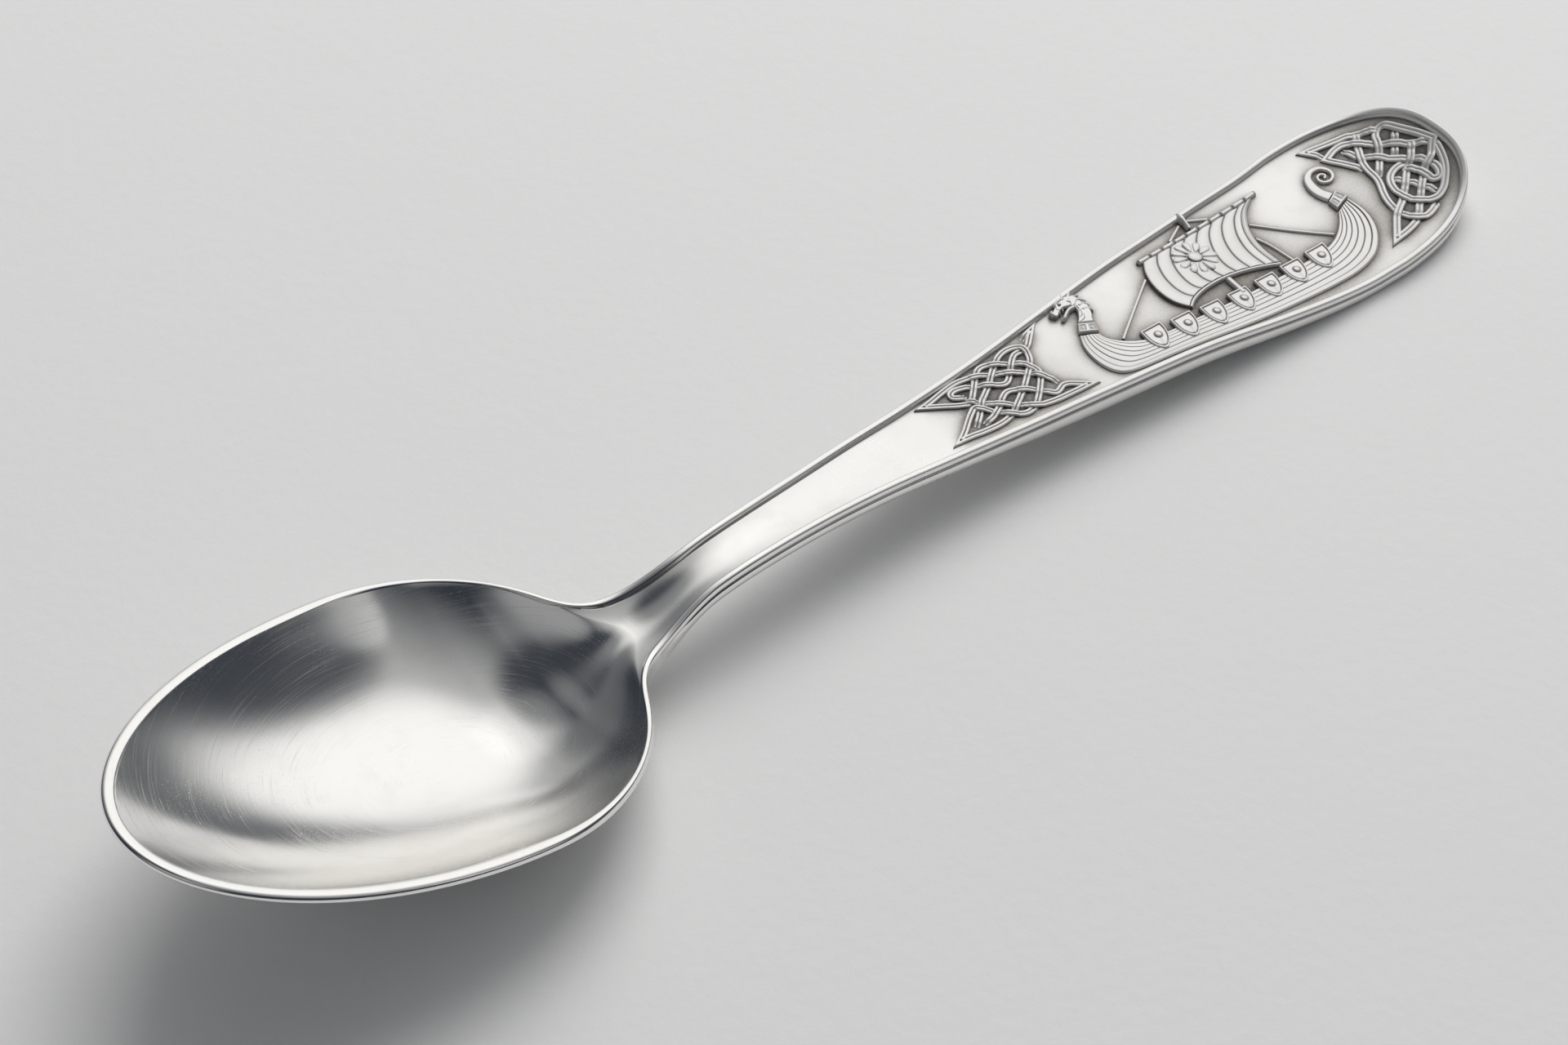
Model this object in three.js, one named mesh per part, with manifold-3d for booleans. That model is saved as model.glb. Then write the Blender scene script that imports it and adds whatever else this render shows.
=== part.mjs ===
// A small silver spoon: an egg-shaped bowl soldered to an arched handle plate, a border wire round the
// plate, and a longship and two interlaced knots soldered onto the plate as separate ornaments.
// Millimetres, Z up, X from the bowl to the handle's end, the table at Z = 0.
import * as THREE from "three";
import { mergeVertices } from "three/addons/utils/BufferGeometryUtils.js";
import { TessellateModifier } from "three/addons/modifiers/TessellateModifier.js";
import Module from "manifold-3d";

const { Manifold, Mesh: SolidMesh } = await Module().then((wasm) => {
  wasm.setup();
  return wasm;
});

// Bowl
const BOWL_FRONT = 24.1; // bowl tip to the widest line
const BOWL_BACK = 15.5; // widest line to where the rear half ellipse would close
const BOWL_HALF_WIDTH = 14.2;
const BOWL_WALL = 0.9; // at the bottom
const RIM_WIDTH = 0.75;
const RIM_EDGE = 0.5; // height of the rim's outer edge
const RIM_LIP = 0.1; // from the rim's crest down to the bowl's inside
const BOWL_TIP_HEIGHT = 15.3; // rim above the table
const BOWL_RIM_HEIGHT = 8.25; // rim above the table at the widest line
// Handle
const NECK_RUN = 1.6; // from the end of the rear ellipse to the neck joint
const NECK_HALF_WIDTH = 3.35;
const NECK_HEIGHT = 5.0; // border crest above the table at the neck joint
const STEM_LENGTH = 28.8; // neck joint to the lower knot
const STEM_HALF_WIDTH = 2.4; // at the narrowest
const STEM_NARROWEST = 6.5; // from the neck joint
const ARCH_HEIGHT = 6.8; // border crest above the table at the top of the arch
const KNOT_LENGTH = 15.2; // lower knot panel
const SHIP_LENGTH = 33.2; // ship panel
const CREST_LENGTH = 8.9; // ship panel to the handle's end
const PANEL_HALF_WIDTH = 8.44; // at the widest
const END_ROUND = 12.3; // widest line to the handle's end
const END_RISE = 2.7; // the handle's end above its resting stretch
const TOE_BACK = 1.5; // from the widest line back to where the handle rests
const STEM_PLATE = 1.3; // plate thickness at the stem
const MIDDLE_PLATE = 1.8; // plate thickness at the prow
const TOE_PLATE = 1.2; // plate thickness where the handle rests
// Border wire and ornaments
const BORDER_WIDTH = 0.7;
const BORDER_HEIGHT = 0.45;
const SOLDER = 0.05; // solder film between any two pieces
const FLAT_DEPTH = 0.06; // how much is worn flat where the spoon rests
const LOWER_STRAND = 0.46; // width of the lower knot's bands
const UPPER_STRAND = 0.6; // width of the upper knot's bands
const STRAND_HEIGHT = 0.22;
const HULL_HEIGHT = 0.425; // at the turn of the hull, without the laps
const HULL_EDGE = 0.275; // at the keel and the gunwale
const STRAKE_LAP = 0.07; // how far each strake stands over the next
const COLLAR_HEIGHT = 0.65;
const SCROLL_HEIGHT = 0.5;
const HEAD_HEIGHT = 0.85;
const SAIL_HEIGHT = 0.45;
const SUN_HEIGHT = 0.12;
const SUN_DISC = 0.78; // radius
const SUN_RAYS = 1.75; // radius at the points of the rays
const SHIELD_PLATE = 0.22;
const SHIELD_BOSS = 0.36; // radius
const YARD_WIDTH = 0.42;
const YARD_HEIGHT = 0.53;
const MASTHEAD_WIDTH = 0.5;
const MASTHEAD_HEIGHT = 0.8;
const MAST_FOOT_WIDTH = 0.6;
const MAST_FOOT_HEIGHT = 0.38;
const CORD_WIDTH = 0.24;
const CORD_HEIGHT = 0.28;
const FOOT_ROPE_HEIGHT = 0.35;
const BEVEL = 0.08; // along the top edge of a cut-out ornament

// Landmarks along the spoon, measured from the bowl tip
const neckAt = BOWL_FRONT + BOWL_BACK + NECK_RUN;
const lowerKnotAt = neckAt + STEM_LENGTH;
const shipAt = lowerKnotAt + KNOT_LENGTH;
const crestAt = shipAt + SHIP_LENGTH;
const endAt = crestAt + CREST_LENGTH;
const widestAt = endAt - END_ROUND;
const toeAt = widestAt - TOE_BACK;
const toeHeight = TOE_PLATE - FLAT_DEPTH + SOLDER + BORDER_HEIGHT;

const clamp = (v, lo, hi) => Math.min(Math.max(v, lo), hi);
const mix = (a, b, t) => a + (b - a) * t;
const ease = (a, b, v) => {
  const t = clamp((v - a) / (b - a), 0, 1);
  return t * t * (3 - 2 * t);
};
const steps = (count) => Array.from({ length: count + 1 }, (_, i) => i / count);
const quarterTurn = Math.PI / 2;

// A height or width as a function of the distance along the spoon, smooth through the given points.
function along(points) {
  const run = new THREE.SplineCurve(points.map(([s, v]) => new THREE.Vector2(s, v))).getPoints(600);
  return (s) => {
    let lo = 0;
    let hi = run.length - 1;
    while (hi - lo > 1) {
      const mid = (lo + hi) >> 1;
      if (run[mid].x > s) hi = mid;
      else lo = mid;
    }
    const t = clamp((s - run[lo].x) / (run[hi].x - run[lo].x), 0, 1);
    return mix(run[lo].y, run[hi].y, t);
  };
}

// The side view: crest of the rim and of the border wire above the table
const fall = ARCH_HEIGHT - toeHeight;
const edgeHeight = along([
  [0, BOWL_TIP_HEIGHT],
  [BOWL_FRONT * 0.5, mix(BOWL_TIP_HEIGHT, BOWL_RIM_HEIGHT, 0.52)],
  [BOWL_FRONT, BOWL_RIM_HEIGHT],
  [BOWL_FRONT + BOWL_BACK * 0.68, mix(BOWL_RIM_HEIGHT, NECK_HEIGHT, 0.77)],
  [neckAt, NECK_HEIGHT],
  [neckAt + STEM_LENGTH * 0.22, mix(NECK_HEIGHT, ARCH_HEIGHT, 0.84)],
  [neckAt + STEM_LENGTH * 0.45, ARCH_HEIGHT],
  [neckAt + STEM_LENGTH * 0.75, ARCH_HEIGHT - fall * 0.08],
  [lowerKnotAt, ARCH_HEIGHT - fall * 0.235],
  [lowerKnotAt + KNOT_LENGTH * 0.52, ARCH_HEIGHT - fall * 0.38],
  [shipAt, ARCH_HEIGHT - fall * 0.465],
  [shipAt + SHIP_LENGTH * 0.27, ARCH_HEIGHT - fall * 0.585],
  [shipAt + SHIP_LENGTH * 0.51, ARCH_HEIGHT - fall * 0.81],
  [toeAt - SHIP_LENGTH * 0.11, toeHeight + END_RISE * 0.02],
  [toeAt, toeHeight],
  [mix(toeAt, endAt, 0.65), toeHeight + END_RISE * 0.26],
  [endAt, toeHeight + END_RISE],
]);
const fieldHeight = (s) => edgeHeight(s) - BORDER_HEIGHT - SOLDER;

// The plan: half width of the handle
const flare = along([
  [0, 0],
  [0.18, 0.063],
  [0.42, 0.285],
  [0.66, 0.596],
  [0.87, 0.891],
  [1, 1],
]);
function halfWidth(s) {
  const narrowAt = neckAt + STEM_NARROWEST;
  if (s < narrowAt) {
    const t = (narrowAt - s) / STEM_NARROWEST;
    return STEM_HALF_WIDTH + (NECK_HALF_WIDTH - STEM_HALF_WIDTH) * t * t;
  }
  if (s < widestAt) {
    return mix(STEM_HALF_WIDTH, PANEL_HALF_WIDTH, flare((s - narrowAt) / (widestAt - narrowAt)));
  }
  const endPower = 2.45;
  const t = clamp((s - widestAt) / END_ROUND, 0, 1);
  return PANEL_HALF_WIDTH * (1 - t ** endPower) ** (1 / endPower);
}
const fieldHalf = (s) => halfWidth(s) - BORDER_WIDTH - SOLDER;
const plateThickness = along([
  [neckAt, STEM_PLATE],
  [mix(neckAt, shipAt, 0.6), STEM_PLATE],
  [shipAt, MIDDLE_PLATE],
  [toeAt, TOE_PLATE],
  [endAt, TOE_PLATE],
]);
const toX = (s) => s - endAt / 2;
const onHandle = (s, y, h) => [toX(s), y, fieldHeight(s) + h];

// Solids

// A closed mesh from vertices and triangles, with double vertices merged and collapsed triangles dropped.
function closedMesh(vertices, triangles) {
  const raw = new THREE.BufferGeometry();
  raw.setAttribute("position", new THREE.Float32BufferAttribute(vertices.flat(), 3));
  raw.setIndex(triangles.flat());
  return cleaned(raw);
}
function cleaned(geometry) {
  const bare = geometry.clone();
  bare.deleteAttribute("normal");
  bare.deleteAttribute("uv");
  const merged = mergeVertices(bare, 1e-3);
  const from = merged.index.array;
  const kept = [];
  for (let i = 0; i < from.length; i += 3) {
    const [a, b, c] = [from[i], from[i + 1], from[i + 2]];
    if (a !== b && b !== c && c !== a) kept.push(a, b, c);
  }
  merged.setIndex(kept);
  return merged;
}

// Two facing grids, top and bottom, over the parameters us and vs, closed round their edges.
function slab(us, vs, top, bottom) {
  const vertices = [top, bottom].flatMap((face) => us.flatMap((u) => vs.map((v) => face(u, v))));
  const [rows, columns] = [us.length - 1, vs.length - 1];
  const at = (f, i, j) => (f * (rows + 1) + i) * (columns + 1) + j;
  const triangles = [];
  const quad = (a, b, c, d) => triangles.push([a, b, c], [a, c, d]);
  for (let i = 0; i < rows; i++) {
    for (let j = 0; j < columns; j++) {
      quad(at(0, i, j), at(0, i + 1, j), at(0, i + 1, j + 1), at(0, i, j + 1));
      quad(at(1, i, j), at(1, i, j + 1), at(1, i + 1, j + 1), at(1, i + 1, j));
    }
    quad(at(0, i, 0), at(1, i, 0), at(1, i + 1, 0), at(0, i + 1, 0));
    quad(at(0, i, columns), at(0, i + 1, columns), at(1, i + 1, columns), at(1, i, columns));
  }
  for (let j = 0; j < columns; j++) {
    quad(at(0, 0, j), at(0, 0, j + 1), at(1, 0, j + 1), at(1, 0, j));
    quad(at(0, rows, j), at(1, rows, j), at(1, rows, j + 1), at(0, rows, j + 1));
  }
  return outward(closedMesh(vertices, triangles));
}

// A section swept along a route on the handle. Each route point is [s, y, h], and the section is a list of
// [sideways, up] points, anticlockwise. Corners are mitred.
function sweep(route, section) {
  const flat = route.map(([s, y]) => new THREE.Vector2(s, y));
  const vertices = [];
  route.forEach(([s, y, h, width = 1], i) => {
    const before = flat[Math.max(i - 1, 0)];
    const after = flat[Math.min(i + 1, flat.length - 1)];
    const arrive = i ? flat[i].clone().sub(before).normalize() : null;
    const leave = i < flat.length - 1 ? after.clone().sub(flat[i]).normalize() : null;
    const side = (d) => new THREE.Vector2(-d.y, d.x);
    const first = side(arrive ?? leave);
    const second = side(leave ?? arrive);
    const mitre = first.clone().add(second).normalize();
    const reach = width / Math.max(mitre.dot(first), 0.2);
    for (const [across, up] of section) {
      vertices.push(onHandle(s + mitre.x * across * reach, y + mitre.y * across * reach, h + up));
    }
  });
  const n = section.length;
  const triangles = [];
  for (let i = 0; i < route.length - 1; i++) {
    for (let k = 0; k < n; k++) {
      const a = i * n + k;
      const b = i * n + ((k + 1) % n);
      triangles.push([a, a + n, b], [b, a + n, b + n]);
    }
  }
  const cap = THREE.ShapeUtils.triangulateShape(section.map(([x, y]) => new THREE.Vector2(x, y)), []);
  const last = (route.length - 1) * n;
  for (const [a, b, c] of cap) triangles.push([a, b, c], [last + a, last + c, last + b]);
  return outward(closedMesh(vertices, triangles));
}
// Turns a closed mesh that faces inwards.
function outward(geometry) {
  if (solid(geometry).volume() > 0) return geometry;
  const index = geometry.index.array;
  for (let i = 0; i < index.length; i += 3) [index[i + 1], index[i + 2]] = [index[i + 2], index[i + 1]];
  return geometry;
}

const solid = (geometry) => {
  const g = cleaned(geometry);
  return new Manifold(
    new SolidMesh({
      numProp: 3,
      vertProperties: new Float32Array(g.attributes.position.array),
      triVerts: new Uint32Array(g.index.array),
    }),
  );
};
function geometryOf(body) {
  const m = body.getMesh();
  const g = new THREE.BufferGeometry();
  const positions = new Float32Array(m.numVert * 3);
  for (let i = 0; i < m.numVert; i++) {
    for (let k = 0; k < 3; k++) positions[i * 3 + k] = m.vertProperties[i * m.numProp + k];
  }
  g.setAttribute("position", new THREE.BufferAttribute(positions, 3));
  g.setIndex(new THREE.BufferAttribute(new Uint32Array(m.triVerts), 1));
  return cleaned(g);
}
// What the table wears away: everything under Z = 0
const ground = endAt * 2;
const underTable = solid(new THREE.BoxGeometry(ground, ground, ground).translate(0, 0, -ground / 2));
const restedOnTable = (geometry) => geometryOf(solid(geometry).subtract(underTable));

// A flat outline in drawing coordinates, extruded from height h upwards and bent onto the handle.
function plaque(outline, h, height, bevel = BEVEL) {
  const shape = new THREE.Shape(outline.map(([s, y]) => new THREE.Vector2(s, y)));
  const extruded = new THREE.ExtrudeGeometry(shape, {
    depth: height - bevel,
    bevelEnabled: bevel > 0,
    bevelThickness: bevel,
    bevelSize: bevel,
    bevelOffset: -bevel,
    bevelSegments: 1,
    curveSegments: 4,
  });
  const flatBottom = extruded.attributes.position;
  for (let i = 0; i < flatBottom.count; i++) flatBottom.setZ(i, Math.max(flatBottom.getZ(i), 0));
  const fine = new TessellateModifier(1.6, 6).modify(cleaned(extruded).toNonIndexed());
  const p = fine.attributes.position;
  for (let i = 0; i < p.count; i++) p.setXYZ(i, ...onHandle(p.getX(i), p.getY(i), h + p.getZ(i)));
  return cleaned(fine);
}

// Ornament drawings are made on boards with their own scale; a board is laid on a stretch of the handle.
function board(from, to, middleHalf, start, length) {
  const stretch = length / (to - from);
  const spread = fieldHalf(start + length / 2) / middleHalf;
  return ([s, y]) => [start + (s - from) * stretch, y * spread];
}
const knotBoard = board(70, 85.2, 3.54, lowerKnotAt, KNOT_LENGTH);
const shipBoard = board(85.2, 118.4, 6.5, shipAt, SHIP_LENGTH);
const crestBoard = board(118.4, 127.3, 6.4, crestAt, CREST_LENGTH);

// A smooth run through drawn points, given every `step` millimetres.
function smooth(points, step) {
  const curve = new THREE.SplineCurve(points.map(([s, y]) => new THREE.Vector2(s, y)));
  const count = Math.max(2, Math.round(curve.getLength() / step));
  return curve.getSpacedPoints(count).map((p) => [p.x, p.y]);
}

// Bowl

// Half of the bowl's plan, from the tip to the neck, as [s, y].
function halfPlan() {
  const plan = [];
  for (const t of steps(14)) {
    const turn = t * quarterTurn;
    plan.push([BOWL_FRONT * (1 - Math.cos(turn)), BOWL_HALF_WIDTH * Math.sin(turn)]);
  }
  const last = quarterTurn * 0.7;
  for (const t of steps(8).slice(1)) {
    const turn = t * last;
    plan.push([BOWL_FRONT + BOWL_BACK * Math.sin(turn), BOWL_HALF_WIDTH * Math.cos(turn)]);
  }
  const from = new THREE.Vector2(...plan.at(-1));
  const to = new THREE.Vector2(neckAt, NECK_HALF_WIDTH);
  const leave = new THREE.Vector2(BOWL_BACK * Math.cos(last), -BOWL_HALF_WIDTH * Math.sin(last)).normalize();
  const arrive = new THREE.Vector2(STEM_NARROWEST, 2 * (STEM_HALF_WIDTH - NECK_HALF_WIDTH)).normalize();
  const pull = from.distanceTo(to) * 0.4;
  const shoulder = new THREE.CubicBezierCurve(
    from,
    from.clone().addScaledVector(leave, pull),
    to.clone().addScaledVector(arrive, -pull),
    to,
  );
  for (const p of shoulder.getPoints(6).slice(1)) plan.push([p.x, p.y]);
  return plan;
}

function bowl() {
  const half = halfPlan();
  const floorHalf = NECK_HALF_WIDTH - BORDER_WIDTH - SOLDER;
  const neck = [floorHalf, floorHalf * 0.4].map((y) => [neckAt, y]);
  const far = [...half, ...neck];
  const ring = [...far, ...far.slice(1).reverse().map(([s, y]) => [s, -y])];
  const isNeck = ([s, y]) => s > neckAt - 1e-6 && Math.abs(y) <= floorHalf + 1e-6;
  const n = ring.length;
  const inward = ring.map((p, i) => {
    const a = new THREE.Vector2(...ring[(i + n - 1) % n]);
    const b = new THREE.Vector2(...ring[(i + 1) % n]);
    const d = b.sub(a).normalize();
    return [-d.y, d.x].map((v) => -v);
  });
  const inset = (i, by) => [ring[i][0] + inward[i][0] * by, ring[i][1] + inward[i][1] * by];
  const dishPower = 2.4;
  const sink = (r) => 1 - r ** dishPower;
  // The bowl stands on the table, so its depth follows from the rim's height.
  let depth = Infinity;
  for (let r = 0; r < 0.9; r += 0.02) {
    depth = Math.min(depth, (edgeHeight(mix(BOWL_FRONT, neckAt, r)) + FLAT_DEPTH) / sink(r));
  }
  const stemDepth = BORDER_HEIGHT + SOLDER + STEM_PLATE;
  const shoulderAt = BOWL_FRONT + BOWL_BACK * 0.6;
  const sideHeight = (s) => mix(RIM_EDGE, stemDepth, ease(shoulderAt, neckAt, s));
  const floor = BORDER_HEIGHT + SOLDER;
  const toCentre = ([s, y], r) => [mix(BOWL_FRONT, s, r), y * r];
  const rows = [];
  for (const r of [0.12, 0.26, 0.42, 0.58, 0.72, 0.84, 0.93, 1]) {
    rows.push((i) => {
      const rim = inset(i, RIM_WIDTH);
      const [s, y] = toCentre(rim, r);
      const channel = isNeck(ring[i]) ? (floor - RIM_LIP) * ease(0.7, 1, r) : 0;
      return [s, y, edgeHeight(s) - mix(depth - BOWL_WALL, RIM_LIP, 1 - sink(r)) - channel];
    });
  }
  const edge = (by, drop) => (i) => {
    const [s, y] = inset(i, by);
    return [s, y, edgeHeight(s) - (isNeck(ring[i]) ? floor : drop)];
  };
  rows.push(edge(RIM_WIDTH / 2, 0), edge(0, RIM_LIP));
  for (const r of [1, 0.94, 0.85, 0.73, 0.59, 0.43, 0.27, 0.13]) {
    rows.push((i) => {
      const [s, y] = toCentre(ring[i], r);
      return [s, y, edgeHeight(s) - mix(depth, sideHeight(ring[i][0]), 1 - sink(r))];
    });
  }
  const vertices = rows.flatMap((row) => ring.map((_, i) => row(i)));
  const poles = [depth - BOWL_WALL, depth].map((d) => [BOWL_FRONT, 0, edgeHeight(BOWL_FRONT) - d]);
  const all = [...vertices, ...poles].map(([s, y, z]) => [toX(s), y, z]);
  const triangles = [];
  for (let k = 0; k < rows.length - 1; k++) {
    for (let i = 0; i < n; i++) {
      const a = k * n + i;
      const b = k * n + ((i + 1) % n);
      triangles.push([a, a + n, b], [b, a + n, b + n]);
    }
  }
  const lastRow = (rows.length - 1) * n;
  for (let i = 0; i < n; i++) {
    const next = (i + 1) % n;
    triangles.push([rows.length * n, i, next], [rows.length * n + 1, lastRow + next, lastRow + i]);
  }
  return restedOnTable(outward(closedMesh(all, triangles)));
}

// Handle plate

// Stations along the handle, closer together round its end
function stations(start, straightSteps, roundSteps) {
  const straight = steps(straightSteps).map((t) => mix(start, widestAt, t));
  const round = steps(roundSteps).slice(1);
  return [...straight, ...round.map((t) => widestAt + END_ROUND * Math.sin(t * quarterTurn))];
}
function handle() {
  const at = (lower) => (s, side) => {
    const under = lower ? plateThickness(s) : 0;
    return [toX(s), halfWidth(s) * side, fieldHeight(s) - under];
  };
  return restedOnTable(slab(stations(neckAt + SOLDER, 46, 12), [-1, 0, 1], at(false), at(true)));
}

// Border wire: a half-round moulding that runs up one side of the plate, round its end and back.
function borderRoute() {
  // The wire leaves the neck at a slant, so it starts a little further on than the plate.
  const start = neckAt + SOLDER + (BORDER_WIDTH * (NECK_HALF_WIDTH - STEM_HALF_WIDTH)) / STEM_NARROWEST;
  const outer = stations(start, 36, 12).map((s) => [s, halfWidth(s)]);
  const loop = [...outer, ...outer.slice(0, -1).reverse().map(([s, y]) => [s, -y])];
  return loop.map(([s, y], i) => {
    const before = new THREE.Vector2(...loop[Math.max(i - 1, 0)]);
    const after = new THREE.Vector2(...loop[Math.min(i + 1, loop.length - 1)]);
    const d = after.sub(before).normalize();
    return [s + d.y * (BORDER_WIDTH / 2), y - d.x * (BORDER_WIDTH / 2), SOLDER];
  });
}
const WIRE = [[-0.5, 0], [0.5, 0], [0.42, 0.7], [0, 1], [-0.42, 0.7]];
const border = () => sweep(borderRoute(), WIRE.map(([x, h]) => [x * BORDER_WIDTH, h * BORDER_HEIGHT]));

// A piece that reaches over the border wire is cut to sit on it: by the wire and all that lies outside it.
function borderSeat() {
  const [inner, outer] = [-BORDER_WIDTH / 2 - SOLDER, BORDER_WIDTH * 3];
  const [under, top] = [-STEM_PLATE, BORDER_HEIGHT + SOLDER];
  const section = [[inner, under], [outer, under], [outer, top], [0, top], [inner, top * 0.7]];
  return solid(sweep(borderRoute(), section));
}

// Knots

// Strands that cross are lifted in turn, so that each passes over one neighbour and under the next.
function weave(strands, width) {
  const runs = strands.map((route) => {
    let travelled = 0;
    return route.map(([s, y], i) => {
      if (i) travelled += Math.hypot(s - route[i - 1][0], y - route[i - 1][1]);
      return { s, y, t: travelled };
    });
  });
  const crossings = [];
  const meet = (a, b, c, d) => {
    const cross = (p, q, r) => (q.s - p.s) * (r.y - p.y) - (q.y - p.y) * (r.s - p.s);
    const [k1, k2, k3, k4] = [cross(a, b, c), cross(a, b, d), cross(c, d, a), cross(c, d, b)];
    if (k1 * k2 >= 0 || k3 * k4 >= 0) return null;
    const u = k3 / (k3 - k4);
    const w = k1 / (k1 - k2);
    const lean = Math.abs((b.s - a.s) * (d.y - c.y) - (b.y - a.y) * (d.s - c.s));
    const slant = lean / (Math.hypot(b.s - a.s, b.y - a.y) * Math.hypot(d.s - c.s, d.y - c.y));
    return { first: mix(a.t, b.t, u), second: mix(c.t, d.t, w), slant };
  };
  runs.forEach((p, i) => {
    runs.slice(i).forEach((q, off) => {
      for (let a = 1; a < p.length; a++) {
        for (let c = off ? 1 : a + 3; c < q.length; c++) {
          const hit = meet(p[a - 1], p[a], q[c - 1], q[c]);
          if (hit) crossings.push({ ...hit, i, j: i + off, over: null });
        }
      }
    });
  });
  // Go from crossing to crossing along the strands, changing between over and under each time.
  const stops = runs.map((_, k) =>
    crossings
      .flatMap((c) => [
        ...(c.i === k ? [{ c, t: c.first, mine: true }] : []),
        ...(c.j === k ? [{ c, t: c.second, mine: false }] : []),
      ])
      .sort((a, b) => a.t - b.t),
  );
  const isOver = (stop) => (stop.mine ? stop.c.over : !stop.c.over);
  const set = (stop, over) => {
    stop.c.over = stop.mine ? over : !over;
  };
  let open = crossings.find((c) => c.over === null);
  while (open) {
    open.over = true;
    let grew = true;
    while (grew) {
      grew = false;
      for (const list of stops) {
        for (let i = 1; i < list.length; i++) {
          const [a, b] = [list[i - 1], list[i]];
          if (a.c.over !== null && b.c.over === null) set(b, !isOver(a));
          else if (b.c.over !== null && a.c.over === null) set(a, !isOver(b));
          else continue;
          grew = true;
        }
      }
    }
    open = crossings.find((c) => c.over === null);
  }
  const lift = STRAND_HEIGHT + SOLDER;
  const ramp = width * 0.75;
  return runs.map((run, k) => {
    const heights = run.map(({ t }) => {
      let h = 0;
      for (const stop of stops[k]) {
        if (!isOver(stop)) continue;
        const level = (width * 0.62) / Math.max(stop.c.slant, 0.5);
        const gap = Math.abs(t - stop.t) - level;
        h = Math.max(h, lift * (1 - ease(0, ramp, gap)));
      }
      return h;
    });
    return run.map(({ s, y }, i) => [s, y, SOLDER + heights[i]]);
  });
}
const STRAND = [[-0.5, 0], [0.5, 0], [0.3, 1], [0, 0.65], [-0.3, 1]];
function knot(runs, place, width, step) {
  const strands = runs.map((parts) =>
    parts.flatMap((part, i) => smooth(part.map(place), step).slice(i ? 1 : 0)),
  );
  const section = STRAND.map(([x, h]) => [x * width, h * STRAND_HEIGHT]);
  return weave(strands, width).map((route) => sweep(route, section));
}

// Each strand is a list of smooth runs; neighbouring runs meet in a sharp point.
const LOWER_KNOT = [
  [
    [[82.15, -1.6], [81.95, -1.05], [81.7, -0.5], [81.35, 0.1], [80.85, 0.68], [80.15, 1.18], [79.2, 1.8],
      [78.3, 2.3], [77.3, 2.72], [76.4, 2.98], [75.3, 3.08], [74, 2.93], [72.6, 2.74], [70.9, 2.62]],
    [[70.9, 2.62], [72.3, 2.08], [73.2, 1.58], [74, 1.08], [74.7, 0.8], [75.25, 0.92], [75.9, 1.42],
      [76.7, 2.14], [77.5, 2.87], [78.1, 3.2], [78.7, 3.2], [79.4, 2.88], [80.2, 2.4], [80.95, 1.98],
      [81.38, 1.5], [81.55, 0.9], [81.75, 0.3], [81.4, -0.35], [80.7, -1.05], [79.9, -1.75], [79, -2.38],
      [78.2, -2.66], [77.5, -2.56], [76.8, -2.02], [76.1, -1.26], [75.4, -0.45], [74.85, 0.08],
      [74.2, -0.2], [73.2, -0.87], [72.2, -1.5], [70.6, -2.1]],
    [[70.6, -2.1], [72.2, -2.1], [73.6, -2.24], [75, -2.36], [76.1, -2.28], [77, -1.96], [77.8, -1.53],
      [78.6, -1.03], [79.6, -0.4], [80.5, 0.25], [81.3, 0.85], [82, 1.5], [82.4, 2.2], [82.48, 2.85],
      [82.15, 3.28], [81.6, 3.47], [81, 3.48], [80.4, 3.34], [79.7, 3], [79, 2.5], [78.2, 1.93],
      [77.4, 1.32], [76.6, 0.82], [75.95, 0.42], [75.3, -0.1], [74.6, -0.75], [74, -1.2], [73.6, -1.5]],
  ],
  [
    [[75.3, 1.62], [74.8, 1.62], [74.3, 1.95], [74.35, 2.32], [74.85, 2.5], [75.6, 2.36], [76.3, 2.08],
      [77, 1.72], [77.8, 1.2], [78.4, 0.8], [78.85, 0.76], [79.3, 1.02], [80, 1.62], [80.7, 2.22],
      [81.4, 2.68], [82.1, 2.72], [82.9, 2.76], [83.6, 3.15], [85.1, 4.02]],
    [[85.1, 4.02], [84, 3.86], [83.3, 3.72]],
  ],
  [
    [[74.3, -1.62], [75.2, -1.5], [76, -1.2], [76.6, -0.86], [77.2, -0.42], [77.8, -0.1], [78.3, -0.04],
      [78.9, -0.3], [79.6, -0.75], [80.2, -1.22], [80.7, -1.85], [81.05, -2.32], [81.45, -2.36],
      [82.2, -2.12], [82.75, -2.25], [83.5, -2.82], [84.85, -3.8]],
    [[84.85, -3.8], [83.4, -3.42], [82.2, -3.22], [80.8, -3], [79.6, -2.74], [78.9, -2.45], [78.3, -1.92],
      [77.6, -1.33], [76.9, -0.8], [76.2, -0.2], [75.6, 0.35], [75.1, 0.85], [74.85, 1.2]],
  ],
];
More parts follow.
